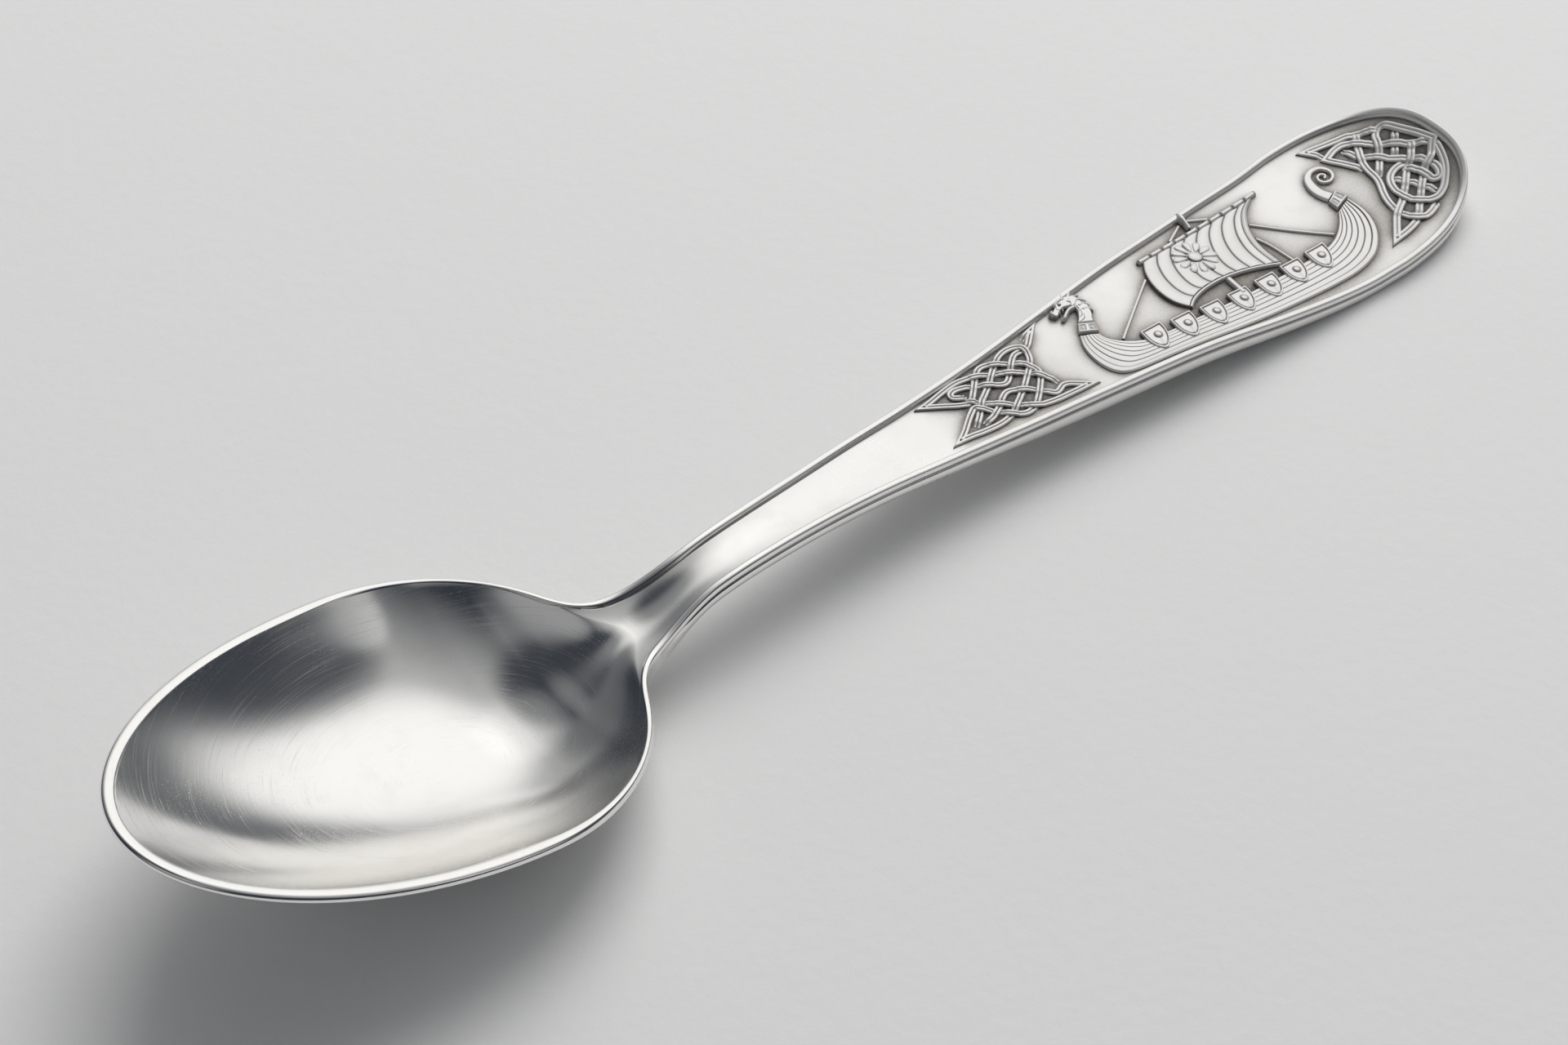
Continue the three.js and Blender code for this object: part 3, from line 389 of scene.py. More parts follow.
# %% [markdown]
# ### Finishes
# One function makes all the finishes. Tarnish comes from the number stored at each point, broken up by grain, and
# turns the metal darker, browner and duller. Fine scratches are noise stretched a hundred times along one
# direction, and the polishing marks of the bowl are noise in coordinates that run round it. Painted image
# textures could do the same, but they would need unwrapping and would blur in close views.

# %% The silver finishes
BRIGHT = (0.88, 0.87, 0.85, 1)
WARM = (0.80, 0.77, 0.72, 1)
VEIL = (0.44, 0.42, 0.39, 1)
OXIDE = (0.115, 0.106, 0.096, 1)
SAND, PATCHES, FINGERS, SMEAR = 5200, 420, 150, 90  # bumps to the metre, from grain to smears
SCRATCHES = [  # bumps to the metre, stretch and turn, and the range of the noise that shows
    (210, ((0.25, 62, 62), 0.22), (0.60, 0.76)),
    (240, ((0.3, 55, 55), -0.5), (0.62, 0.78)),
    (260, ((50, 0.5, 50), 0.3), (0.66, 0.8)),
]
ROUND_STEPS, OUT_STEPS = 2, 170  # bumps of the polishing marks round the bowl and out from its middle
BOWL_POLISH = 0.45  # roughness of the bowl as a share of the ship panel's
BUMP_DEPTH = 0.05 * MM


def swirl(place):
    """Coordinates for polishing marks that run round the bowl: two for the way round, from x and y divided by
    the distance r from the bowl's middle, and one that grows fast with r."""
    shift = {"Vector": place, "Location": ((END_AT / 2 - BOWL_FRONT) * MM, 0, 0)}
    flat = place.node("ShaderNodeMapping", {"vector_type": "POINT"}, shift)
    parts = [flat.node("ShaderNodeSeparateXYZ", {}, {0: flat}, out=axis) for axis in "XY"]
    x, y = [part * (1 / (reach * MM)) for part, reach in zip(parts, (BOWL_FRONT - 4, BOWL_HALF_WIDTH))]
    r = (x * x + y * y + 0.0001) ** 0.5
    over = r ** -1
    axes = {0: x * over * ROUND_STEPS, 1: y * over * ROUND_STEPS, 2: r * OUT_STEPS}
    return place.node("ShaderNodeCombineXYZ", {}, axes)


def silver(name, polish, cloud, scratches, grain, frost):
    """Silver with a base roughness `polish`, cloudy handling marks, scratches, a sandy grain and a share of
    `frost`, the matt white skin of pickled silver. Tarnish first lays a grey veil, then a dark crust. Towards
    the bowl everything is polished more, so roughness and frost grow along the spoon."""
    made, start, shader = new_material(name)
    place = start.node("ShaderNodeTexCoord", out="Object")
    dark = start.node("ShaderNodeAttribute", {"attribute_name": "tarnish"}, out="Fac")
    ahead = start.node("ShaderNodeSeparateXYZ", {}, {0: place}, out="X")
    satin = ahead.between((NECK_AT - END_AT / 2) * MM, (SHIP_AT - END_AT / 2) * MM)
    sand = noise(place, SAND, 4)
    patches = noise(place, PATCHES, 5)
    worn = dark + ((sand - 0.5) * 0.5 + (patches - 0.5) * 0.4) * dark
    veil = worn.between(0.04, 0.6)
    crust = worn.between(0.45, 1.0)
    metal = (patches.between(0.48, 0.78) * 0.4).colours(BRIGHT, WARM)
    plug(crust.colours(veil.colours(metal, VEIL), OXIDE), shader.inputs["Base Color"])
    around = swirl(place)
    round_marks = noise(around, 1.0, 3)
    waves = noise(around, 0.08, 2)
    strokes = [noise(place, fine, 1, *way).between(*shown) for fine, way, shown in SCRATCHES]
    handled = noise(place, FINGERS, 3).between(0.4, 0.65)
    lines = (strokes[0] + strokes[1] + strokes[2]) * handled * 0.6 + round_marks.between(0.52, 0.74) * 0.5
    smear = noise(place, SMEAR, 4, (0.5, 2, 2)).between(0.35, 0.75)
    rough = smear * cloud + lines * scratches + (satin * (1 - BOWL_POLISH) + BOWL_POLISH) * polish
    plug(rough + veil * ((0.55 - polish) * 0.6) + crust * 0.1, shader.inputs["Roughness"])
    plug(1 - satin * frost - crust * 0.4, shader.inputs["Metallic"])
    relief = (round_marks * 0.7 + waves * 1.2) * scratches - lines * (scratches * 0.25)
    relief = relief + sand * grain + crust * sand * 0.8
    bump = {"Height": relief, "Strength": 0.2, "Distance": BUMP_DEPTH}
    plug(start.node("ShaderNodeBump", {}, bump), shader.inputs["Normal"])
    return made


BOWL_SILVER = silver("polished_bowl_silver", polish=0.29, cloud=0.06, scratches=0.24, grain=0.0, frost=0.0)
FIELD_SILVER = silver("satin_field_silver", polish=0.31, cloud=0.08, scratches=0.10, grain=0.15, frost=0.15)
WIRE_SILVER = silver("polished_border_silver", polish=0.31, cloud=0.06, scratches=0.08, grain=0.0, frost=0.24)
CAST_SILVER = silver("cast_relief_silver", polish=0.40, cloud=0.06, scratches=0.05, grain=0.20, frost=0.32)
print("finishes:", [m.name for m in bpy.data.materials if "silver" in m.name])

# %% [markdown]
# ## The bowl
# A bowl is raised from sheet with a hammer and finished with a rounded rim. Its plan is an egg that runs out
# into the neck. It could be a sphere pulled into shape, but a drawn plan gives the rim one clean line.

# %% Plan of the bowl
ELLIPSE_TO = 0.7  # share of the rear quarter that stays an ellipse
SHOULDER_PULL = 0.4


def half_plan():
    """From the tip to the neck: a quarter ellipse, part of a shorter one, and a cubic that turns into the
    stem's slope. Its points are closer towards the neck, where the rim turns tightly."""
    turn = np.linspace(0, math.pi / 2, 400)
    front = np.stack([BOWL_FRONT * (1 - np.cos(turn)), BOWL_HALF_WIDTH * np.sin(turn)], 1)
    last = math.pi / 2 * ELLIPSE_TO
    turn = np.linspace(0, last, 200)
    back = np.stack([BOWL_FRONT + BOWL_BACK * np.sin(turn), BOWL_HALF_WIDTH * np.cos(turn)], 1)
    start, end = back[-1], np.array([NECK_AT, NECK_HALF_WIDTH])
    leave = np.array([BOWL_BACK * math.cos(last), -BOWL_HALF_WIDTH * math.sin(last)])
    arrive = np.array([NARROWEST_AT - NECK_AT, 2 * (STEM_HALF_WIDTH - NECK_HALF_WIDTH)])
    pull = np.linalg.norm(end - start) * SHOULDER_PULL
    near_start = start + leave / np.linalg.norm(leave) * pull
    near_end = end - arrive / np.linalg.norm(arrive) * pull
    t = np.linspace(0, 1, 200)[:, None]
    shoulder = start * (1 - t) ** 3 + near_start * 3 * t * (1 - t) ** 2
    shoulder = shoulder + near_end * 3 * t**2 * (1 - t) + end * t**3
    line = even(np.concatenate([front, back[1:], shoulder[1:]]), 0.06)
    first, second = np.searchsorted(line[:, 0], [NECK_AT - 10, NECK_AT - 5])
    return np.concatenate([line[:first:4], line[first:second:2], line[second:]])


PLAN = half_plan()
print("plan of the bowl:", len(PLAN), "points on each side")

# %% [markdown]
# ### Heights of the bowl
# The heights come from a formula in s and y: an egg-shaped dish, and near the neck the lower of that dish and the
# stem's hollow, eased into each other. The handle takes up the same formula, so no line shows where the two are
# soldered. The rim is a rounded bar round the edge, worn narrower by use on the handle's side.

# %% Heights of the bowl
DISH_POWER = 2.4  # more makes the dish flatter in the middle and steeper at the rim
RIM_STEP = 0.06  # height of the rim's outer foot above the edge below it
HEEL_BLEND = 3.6  # width of the easing between dish and stem
HEEL_DIP = 0.45  # how far the neck is hollowed below the field
STEM_DIP = 0.2  # the same along the bare stem
BORDER_POWER = 4.0  # how square the border's section is
STEM_DEPTH = BORDER_HEIGHT + SOLDER + STEM_THICKNESS
FLAT_DEPTH = 0.06  # how far the worn flat cuts into the bowl
reach = np.linspace(0, 0.9, 91)
rim_over_table = edge_height(mix(BOWL_FRONT, NECK_AT, reach)) + FLAT_DEPTH
BOWL_DEPTH = float(np.min(rim_over_table / (1 - reach**DISH_POWER)))
print("bowl", round(BOWL_DEPTH, 2), "mm deep")


def egg(s, y, inset):
    """How far out a point is, 0 in the middle and 1 on the egg: the length of (s / a, y / b), where a goes
    from the front half axis to the rear one across the widest line."""
    a = mix(BOWL_FRONT, BOWL_BACK, ease(BOWL_FRONT - 7, BOWL_FRONT + 7, s)) - inset
    return np.hypot((s - BOWL_FRONT) / a, y / (BOWL_HALF_WIDTH - inset))


def rim_width(s):
    """The rim is worn narrower towards the heel and widens again to the border's width at the neck."""
    worn = mix(RIM_WIDTH, WORN_RIM, ease(BOWL_FRONT - 4, NECK_AT - 7, s))
    return mix(worn, BORDER_WIDTH + SOLDER, ease(NECK_AT - 6, NECK_AT, s))


def inner_half(s):
    """Half width inside the rim, and beyond the neck inside the border."""
    return np.where(s < NECK_AT, np.interp(s, *PLAN.T) - rim_width(s), field_half(s))


def lower_of(a, b, blend):
    """The lower of a and b, eased into each other where they differ by less than `blend`."""
    t = np.clip(0.5 + 0.5 * (b - a) / blend, 0, 1)
    return mix(b, a, t) - blend * t * (1 - t)


def floor_height(s, y):
    """The surface that runs from the bowl up the stem. The bowl is a dish, 1 - r^2.4 deep. The stem is a valley
    with a parabola across. The two are eased into each other at the heel, less and less towards the rim."""
    edge = edge_height(s)
    lip = mix(RIM_LIP, BORDER_HEIGHT + SOLDER, ease(NECK_AT - 5, NECK_AT + 3, s))
    bare = ease(NECK_AT, NECK_AT + 8, s) * ease(KNOT_AT + 1, KNOT_AT - 8, s)
    deep = BORDER_HEIGHT + SOLDER + HEEL_DIP * ease(NECK_AT + 10, NECK_AT - 1, s) + STEM_DIP * bare
    inside = np.clip(1 - (y / np.maximum(inner_half(s), 0.1)) ** 2, 0, 1)
    valley = edge - lip - (deep - lip) * inside * ease(NECK_AT - 14, NECK_AT - 7, s)
    dish = edge - RIM_LIP - (BOWL_DEPTH - BOWL_WALL - RIM_LIP) * (1 - egg(s, y, rim_width(s)) ** DISH_POWER)
    return lower_of(dish, valley, mix(0.03, HEEL_BLEND, ease(NECK_AT - 12, NECK_AT - 5, s) * inside))


def bowl_inside(s, y, rim):
    """That surface, and where the share of the rim's width is under 1 the rim: a rounded bar whose inner foot
    lands on the surface."""
    edge = edge_height(s)
    x = np.clip(2 * rim - 1, -1, 1)
    round_off = 1 - np.sqrt(1 - np.abs(x) ** mix(2.0, BORDER_POWER, ease(NECK_AT - 8, NECK_AT, s)))
    floor = floor_height(s, y)
    drop = np.where(x < 0, RIM_EDGE - RIM_STEP, edge - floor)
    return np.where(rim < 1, edge - drop * round_off, floor)


def bowl_outside(s, y):
    """The dish one wall lower, and near the neck the lower of it and the underside of the stem."""
    edge = edge_height(s)
    side = mix(RIM_EDGE, STEM_DEPTH, ease(BOWL_FRONT + BOWL_BACK * 0.6, NECK_AT, s))
    dish = edge - RIM_EDGE - (BOWL_DEPTH - RIM_EDGE) * (1 - np.minimum(egg(s, y, 0), 1) ** DISH_POWER)
    blend = mix(0.02, 0.8, ease(NECK_AT - 8, NECK_AT - 3, s)) * ease(NECK_AT + 0.1, NECK_AT - 1.5, s) + 0.01
    return np.maximum(lower_of(dish, edge - side, blend), 0)


# %% [markdown]
# ### Mesh of the bowl
# The mesh is a row of rings across the bowl. The outer points of each ring are set in from the plan, so their rows
# run along the rim and its foot is a clean line. A square grid would cut that line into steps.

# %% The bowl's mesh
RIM_STEPS = np.concatenate([np.linspace(0, 1, 17), [1.08]])  # rows across the rim, as shares of its width
FAR_INSIDE = 2.0  # stands for every row that is clear of the rim


def end_rows(ring):
    """Two rows that close the last ring of a section hollow on top: the ring let down to just above its
    underside, and one point there."""
    low = ring[:, 2].min()
    down, middle = ring.copy(), ring.mean(0)
    down[:, 2] = np.minimum(down[:, 2], low + 0.02)
    middle[2] = low + 0.01
    return np.stack([down, 0 * ring + middle])


def bowl():
    """Rings from the tip to the neck. Each goes in from the far rim to the middle line, out to the near rim and
    back underneath. Rows near the rim follow it, because they are set in from the plan along its normal."""
    end = NECK_AT + SOLDER
    side = np.concatenate([PLAN, [[end, float(half_width(end))]]])
    run = np.gradient(side, axis=0)
    normal = left_of(run) / np.linalg.norm(run, axis=1, keepdims=True)
    normal[0] = (-1, 0)
    normal[:, 0] *= ease(NECK_AT, NECK_AT - 4, side[:, 0])
    gone = lengths(side)
    gone = (gone / gone[-1])[:, None]
    wide = rim_width(side[:, 0])
    rim_rows = side[:, None] - normal[:, None] * (wide[:, None] * RIM_STEPS)[..., None]
    inner = rim_rows[:, -1]
    middle = np.concatenate([mix(inner[0, 0], end, gone), 0 * gone], 1)
    under_middle = np.concatenate([end * gone, 0 * gone], 1)
    share = np.linspace(0, 1, 46)[1:, None]
    far = np.concatenate([rim_rows, mix(inner[:, None], middle[:, None], share)], 1)
    below = mix(side[:, None], under_middle[:, None], np.linspace(0, 1, 30)[:, None])
    upper = np.concatenate([far, (far * (1, -1))[:, -2::-1]], 1)
    lower = np.concatenate([below * (1, -1), below[:, -2::-1]], 1)
    half = np.concatenate([RIM_STEPS, np.full(len(share), FAR_INSIDE)])
    rim = np.concatenate([half, half[-2::-1]])
    top = bowl_inside(upper[..., 0], upper[..., 1], rim)
    bottom = bowl_outside(lower[..., 0], lower[..., 1])
    flat = np.concatenate([upper, lower], 1)
    points = np.dstack([flat[..., 0] - END_AT / 2, flat[..., 1], np.concatenate([top, bottom], 1)])
    cap = end_rows(points[-1])
    groove = bell((rim - 1) * wide[:, None], 0.15) * ease(NECK_AT - 7, NECK_AT, upper[..., 0])
    dark = np.concatenate([groove * 0.3, lower[..., 0] * 0], 1)
    return shell(np.concatenate([points, cap]), np.concatenate([dark, dark[-1:], dark[-1:]]))


piece("raised_bowl", [bowl()], BOWL_SILVER, ["bowl"], crease=62)

# %% [markdown]
# ## Wire, bands and rods
# The border, the knots and the rigging are all a section carried along a route. At a corner the section stands
# on the bisector and is drawn wider, as a mitre joint is. Each row can have its own width, lift and height, so
# the same function makes a tapering scroll or a rope.


# %% Sections along routes
def sweep(route, section, width=1.0, lift=0.0, tall=1.0, tarnish=0.0):
    """Section points (across, up) carried along the route (s, y): across goes along the bisector of the two
    stretches that meet, divided by the cosine of half the turn. The ends close on their middle points."""
    route = np.asarray(route, float)
    step = np.diff(route, axis=0)
    step = step / np.linalg.norm(step, axis=1, keepdims=True)
    arrive, leave = np.concatenate([step[:1], step]), np.concatenate([step, step[-1:]])
    first = left_of(arrive)
    mitre = first + left_of(leave)
    mitre = mitre / np.maximum(np.linalg.norm(mitre, axis=1, keepdims=True), 1e-6)
    stretch = np.broadcast_to(width, len(route)) / np.maximum((mitre * first).sum(1), 0.25)
    across, up = np.asarray(section, float).T
    flat = route[:, None] + mitre[:, None] * (stretch[:, None] * across)[..., None]
    rise = np.broadcast_to(lift, len(route))[:, None] + np.broadcast_to(tall, len(route))[:, None] * up
    grid = on_handle(flat[..., 0], flat[..., 1], rise)
    ends = [np.repeat(grid[k].mean(0)[None, None], len(across), 1) for k in (0, -1)]
    dark = np.broadcast_to(tarnish, grid.shape[:2])
    dark = np.concatenate([dark[:1], dark, dark[-1:]])
    return shell(np.concatenate([ends[0], grid, ends[1]]), dark)


def half_round(count, power=2.0):
    """Half of a rounded bar, 1 wide and 1 high, with its flat side down: height = sqrt(1 - |x|^power). Power 2
    is half a circle, and more makes the top flatter."""
    x = np.cos(np.linspace(0, math.pi, count))
    return np.stack([x / 2, np.sqrt(1 - np.abs(x) ** power)], 1)


# %% [markdown]
# ### Border wire
# The border is one length of half-round wire, bent up one side of the handle, round the end and back. Its route is
# the handle's outline, set in by half of the wire's width.


# %% Border wire
def stations(start, step, round_steps):
    """Distances along the handle: even up to the widest line, then closing up towards the end as a sine."""
    straight = np.linspace(start, WIDEST_AT, round((WIDEST_AT - start) / step))
    turn = np.linspace(0, math.pi / 2, round_steps)[1:]
    return np.concatenate([straight, WIDEST_AT + (END_AT - WIDEST_AT) * np.sin(turn)])


def outline(along_s):
    """Points up the far side of the handle and back along the near side, with the direction out of the plate:
    the run from the point before to the point after, turned by a quarter."""
    far = np.stack([along_s, half_width(along_s)], 1)
    loop = np.concatenate([far, (far * (1, -1))[-2::-1]])
    run = np.gradient(loop, axis=0)
    run = run / np.linalg.norm(run, axis=1, keepdims=True)
    return loop, left_of(run)


def border():
    """Half-round wire, its outer side flush with the plate."""
    loop, out = outline(stations(NECK_AT - 0.1, 0.3, 90))
    section = half_round(21, BORDER_POWER) * (BORDER_WIDTH, BORDER_HEIGHT + SOLDER)
    foot = ease(0.3, 0.0, section[:, 1] / BORDER_HEIGHT)
    return sweep(loop - out * BORDER_WIDTH / 2, section, tarnish=foot * 0.9)


piece("border_bead", [border()], WIRE_SILVER, ["border"])

# %% [markdown]
# ## The knots
# Each knot is drawn as a few lines on the handle's field. A line is one or more smooth runs that meet in sharp tips.
# A flat texture of a knot would be easier, but its bands would cast no shadow on each other.

# %% Drawings of the knots
LOWER_KNOT = [
    [
        [(82.15, -1.6), (81.95, -1.05), (81.7, -0.5), (81.35, 0.1), (80.85, 0.68), (80.15, 1.18), (79.2, 1.8),
         (78.3, 2.3), (77.3, 2.72), (76.4, 2.98), (75.3, 3.08), (74, 2.9), (72.8, 2.66), (71.7, 2.47)],
        [(71.7, 2.47), (72.5, 2.0), (73.2, 1.58), (74, 1.08), (74.7, 0.8), (75.25, 0.92), (75.9, 1.42),
         (76.7, 2.14), (77.5, 2.87), (78.1, 3.2), (78.7, 3.2), (79.4, 2.88), (80.2, 2.4), (80.95, 1.98),
         (81.38, 1.5), (81.55, 0.9), (81.75, 0.3), (81.4, -0.35), (80.7, -1.05), (79.9, -1.75), (79, -2.38),
         (78.2, -2.66), (77.5, -2.56), (76.8, -2.02), (76.1, -1.26), (75.4, -0.45), (74.85, 0.08),
         (74.2, -0.2), (73.3, -0.8), (72.5, -1.38), (71.5, -1.97)],
        [(71.5, -1.97), (72.5, -2.06), (73.6, -2.24), (75, -2.36), (76.1, -2.28), (77, -1.96), (77.8, -1.53),
         (78.6, -1.03), (79.6, -0.4), (80.5, 0.25), (81.3, 0.85), (82, 1.5), (82.4, 2.2), (82.48, 2.85),
         (82.15, 3.28), (81.6, 3.47), (81, 3.48), (80.4, 3.34), (79.7, 3), (79, 2.5), (78.2, 1.93),
         (77.4, 1.32), (76.6, 0.82), (75.95, 0.42), (75.3, -0.1), (74.6, -0.75), (74, -1.2), (73.6, -1.5)],
    ],
    [
        [(75.3, 1.62), (74.8, 1.62), (74.3, 1.95), (74.35, 2.32), (74.85, 2.5), (75.6, 2.36), (76.3, 2.08),
         (77, 1.72), (77.8, 1.2), (78.4, 0.8), (78.85, 0.76), (79.3, 1.02), (80, 1.62), (80.7, 2.22),
         (81.4, 2.68), (82.1, 2.72), (82.9, 2.8), (83.5, 3.22), (84.45, 4.0)],
        [(84.45, 4.0), (83.7, 3.82), (83.1, 3.62)],
    ],
    [
        [(74.3, -1.62), (75.2, -1.5), (76, -1.2), (76.6, -0.86), (77.2, -0.42), (77.8, -0.1), (78.3, -0.04),
         (78.9, -0.3), (79.6, -0.75), (80.2, -1.22), (80.7, -1.85), (81.05, -2.32), (81.45, -2.36),
         (82.1, -2.12), (82.6, -2.25), (83.1, -2.64), (83.85, -3.28)],
        [(83.85, -3.28), (83, -3.22), (82.1, -3.14), (80.8, -3), (79.6, -2.74), (78.9, -2.45), (78.3, -1.92),
         (77.6, -1.33), (76.9, -0.8), (76.2, -0.2), (75.6, 0.35), (75.1, 0.85), (74.85, 1.2)],
    ],
]
UPPER_KNOT = [
    [
        [(123, 4.8), (122.5, 4.25), (122, 3.6), (121.4, 2.8), (121, 2.05), (120.75, 1.25), (120.65, 0.55),
         (120.5, -0.05), (120.2, -0.65), (119.8, -1.3), (119.4, -2.1), (119.15, -3), (119.15, -3.9),
         (119.35, -4.7), (119.8, -5.3), (120.4, -5.6), (121.1, -5.55), (121.7, -5.35), (122.1, -5.2)],
    ],
    [
        [(119.3, 4.95), (119.1, 5.3), (118.85, 5.72), (118.5, 6.28)],
        [(118.5, 6.28), (119, 6.2), (119.6, 6.04), (120.4, 5.8), (121.4, 5.5), (122.2, 5.25), (122.9, 4.85),
         (123.5, 4.45), (124, 4.1), (124.4, 3.7)],
    ],
    [
        [(120.65, 1.6), (120.5, 1.95), (120.2, 2.55), (119.8, 3.35), (119.4, 4.05), (119.15, 4.55)],
        [(119.15, 4.55), (119.7, 4.7), (120.3, 4.85), (120.9, 4.87), (121.5, 4.7), (122, 4.3), (122.5, 3.75),
         (123, 3.15), (123.4, 2.65), (123.8, 2.15), (124.3, 1.5), (124.8, 0.85), (125.2, 0.35),
         (125.7, -0.15), (126.1, -0.55)],
    ],
    [
        [(120.9, 0.15), (121.1, 0.35), (121.7, 0.9), (122.3, 1.45), (122.8, 1.95), (123.3, 2.6), (123.7, 3.25),
         (124.1, 3.65), (124.5, 3.8), (124.9, 3.7), (125.2, 3.25), (125.4, 2.6), (125.7, 1.7), (126, 0.7),
         (126.3, -0.65)],
        [(126.3, -0.65), (125.9, -0.9), (125.4, -1.35), (125, -1.65), (124.2, -1.9), (123.7, -2.2),
         (123.1, -2.65), (122.4, -3.15), (121.8, -3.65), (121.2, -4.15), (120.7, -4.5), (120.3, -4.85),
         (119.5, -5.35), (118.9, -5.58), (117.9, -5.72), (116.65, -5.78)],
        [(116.65, -5.78), (117.4, -5.08), (118.1, -4.42), (118.7, -3.9), (119.7, -3.35),
         (120.1, -3.15), (120.6, -2.8), (121.2, -2.4), (121.6, -2.1), (122.2, -1.6), (122.8, -1.15),
         (123.4, -0.75), (123.9, -0.5), (124.4, -0.05), (124.9, 0.4), (125.2, 0.75)],
    ],
    [
        [(120.95, 4.4), (121.05, 3.75), (121.25, 3.15), (121.6, 2.6), (121.95, 2.2), (122.4, 1.65),
         (122.75, 1.05), (123.1, 0.6), (123.5, 0.15), (123.9, -0.3), (124.25, -0.75), (124.5, -1.2),
         (124.66, -1.75), (124.68, -2.35), (124.55, -2.95), (124.25, -3.4), (123.9, -3.5), (123.6, -3.25),
         (123.55, -2.6), (123.45, -1.7), (123.2, -1.15), (122.9, -0.6)],
    ],
    [
        [(123.5, -0.25), (123, -0.25), (122.3, -0.22), (121.6, -0.45), (121.1, -0.9), (120.75, -1.6),
         (120.62, -2.4), (120.75, -3.2), (121.15, -3.95), (121.75, -4.5), (122.4, -4.8), (123, -4.75),
         (123.6, -4.5), (124.2, -4.05), (124.8, -3.5), (125.3, -2.85), (125.7, -2.1), (126.05, -1.3),
         (126.3, -0.75)],
    ],
    [[(123.2, 0.6), (123.5, 0.9), (124, 1.35), (124.5, 1.85), (124.85, 2.2), (125.2, 2.5)]],
    [[(121.45, -0.7), (121.8, -1.3), (122.2, -2.05), (122.55, -2.85), (122.8, -3.65), (123, -4.3)]],
]
KNOT_STEP = 0.1  # distance between the rows of a band
STRAND_HEIGHT = 0.22
STRAND_LIFT = 0.09  # a band is raised by this where it goes over and sunk by it where it goes under
print("lines in the knots:", len(LOWER_KNOT), "and", len(UPPER_KNOT))

# %% [markdown]
# ### Over and under
# An interlaced band goes over one crossing and under the next. The crossings are found from the drawn lines,
# over and under are handed on along each band, and a band is raised where it goes over and sunk where it goes
# under. The bands have two ridges with a groove between them, as chased work has.


# %% Over and under
def crossings(p, q, same):
    """Where two lines of short stretches cross: for each pair of stretches, the signs of four cross products
    tell whether they meet, and their ratios tell where along each line. Also the sine of the angle there."""
    a, b, c, d = p[:-1, None], p[1:, None], q[None, :-1], q[None, 1:]
    cross = lambda u, v: u[..., 0] * v[..., 1] - u[..., 1] * v[..., 0]
    k1, k2 = cross(b - a, c - a), cross(b - a, d - a)
    k3, k4 = cross(d - c, a - c), cross(d - c, b - c)
    meet = (k1 * k2 < 0) & (k3 * k4 < 0)
    if same:
        meet &= np.arange(len(q) - 1)[None] > np.arange(len(p) - 1)[:, None] + 3
    i, j = np.nonzero(meet)
    slant = np.abs(cross(b - a, d - c)) / (np.linalg.norm(b - a, axis=-1) * np.linalg.norm(d - c, axis=-1))
    return zip(i + (k3 / (k3 - k4))[i, j], j + (k1 / (k1 - k2))[i, j], slant[i, j])


def weave(strands, width):
    """Lift of each point of each strand. Crossings are settled one after the other: a strand that was over at
    one crossing is under at the next. Over and under are plateaus as wide as the other band, with eased ramps,
    and both ends of a strand sink into the field."""
    stops = [[] for _ in strands]
    over = {}
    for i, p in enumerate(strands):
        for j in range(i, len(strands)):
            for first, second, slant in crossings(p, strands[j], i == j):
                key = len(over)
                over[key] = None
                stops[i].append((first, key, True, slant))
                stops[j].append((second, key, False, slant))
    for stop in stops:
        stop.sort()
    while None in over.values():
        over[next(key for key, value in over.items() if value is None)] = True
        grew = True
        while grew:
            grew = False
            for stop in stops:
                for (_, a, mine_a, _), (_, b, mine_b, _) in zip(stop, stop[1:]):
                    if over[a] is not None and over[b] is None:
                        over[b] = (not (over[a] == mine_a)) == mine_b
                        grew = True
                    elif over[b] is not None and over[a] is None:
                        over[a] = (not (over[b] == mine_b)) == mine_a
                        grew = True
    lifts = []
    for p, stop in zip(strands, stops):
        lift = np.zeros(len(p))
        place = np.arange(len(p))
        for at, key, mine, slant in stop:
            flat = width * 0.45 / max(slant, 0.5)
            plateau = 1 - ease(flat, flat + width * 0.6, np.abs(place - at) * KNOT_STEP)
            lift += STRAND_LIFT * plateau * (1 if over[key] == mine else -1)
        from_end = np.minimum(place, len(p) - 1 - place) * KNOT_STEP
        lift -= STRAND_HEIGHT * (1 - ease(0, width, from_end))
        lifts.append(lift)
    return lifts


def band_section(groove):
    """A flat band with rounded edges and a groove down the middle, 1 wide and 1 high, closed underneath."""
    x = np.cos(np.linspace(math.pi, 0, 25))
    up = np.sqrt(1 - np.abs(x) ** 6) * (1 - groove * bell(x, 0.16))
    return np.stack([-x / 2, up], 1)


def knot(name, drawing, width, groove, solids):
    """Smooth runs joined at sharp tips, woven, and swept with the band's section. Bands that the solids don't
    have go with the last of them."""
    runs = [[smooth(part, KNOT_STEP) for part in strand] for strand in drawing]
    strands = [np.concatenate([part[(k > 0) :] for k, part in enumerate(strand)]) for strand in runs]
    section = band_section(groove) * (width, STRAND_HEIGHT)
    low = ease(0.8, 0.0, section[:, 1] / STRAND_HEIGHT)
    dark = low + groove * bell(section[:, 0] / width, 0.07)
    lifts = weave(strands, width)
    bands = [sweep(route, section, lift=lift, tarnish=dark) for route, lift in zip(strands, lifts)]
    for k in range(solids):
        here = bands[k:] if k == solids - 1 else bands[k : k + 1]
        piece(f"{name}_band_{k + 1}", here, CAST_SILVER, [f"{name}_strand_{k + 1}"])


knot("lower_knot", LOWER_KNOT, width=0.6, groove=0.55, solids=3)
knot("upper_knot", UPPER_KNOT, width=0.72, groove=0.35, solids=6)

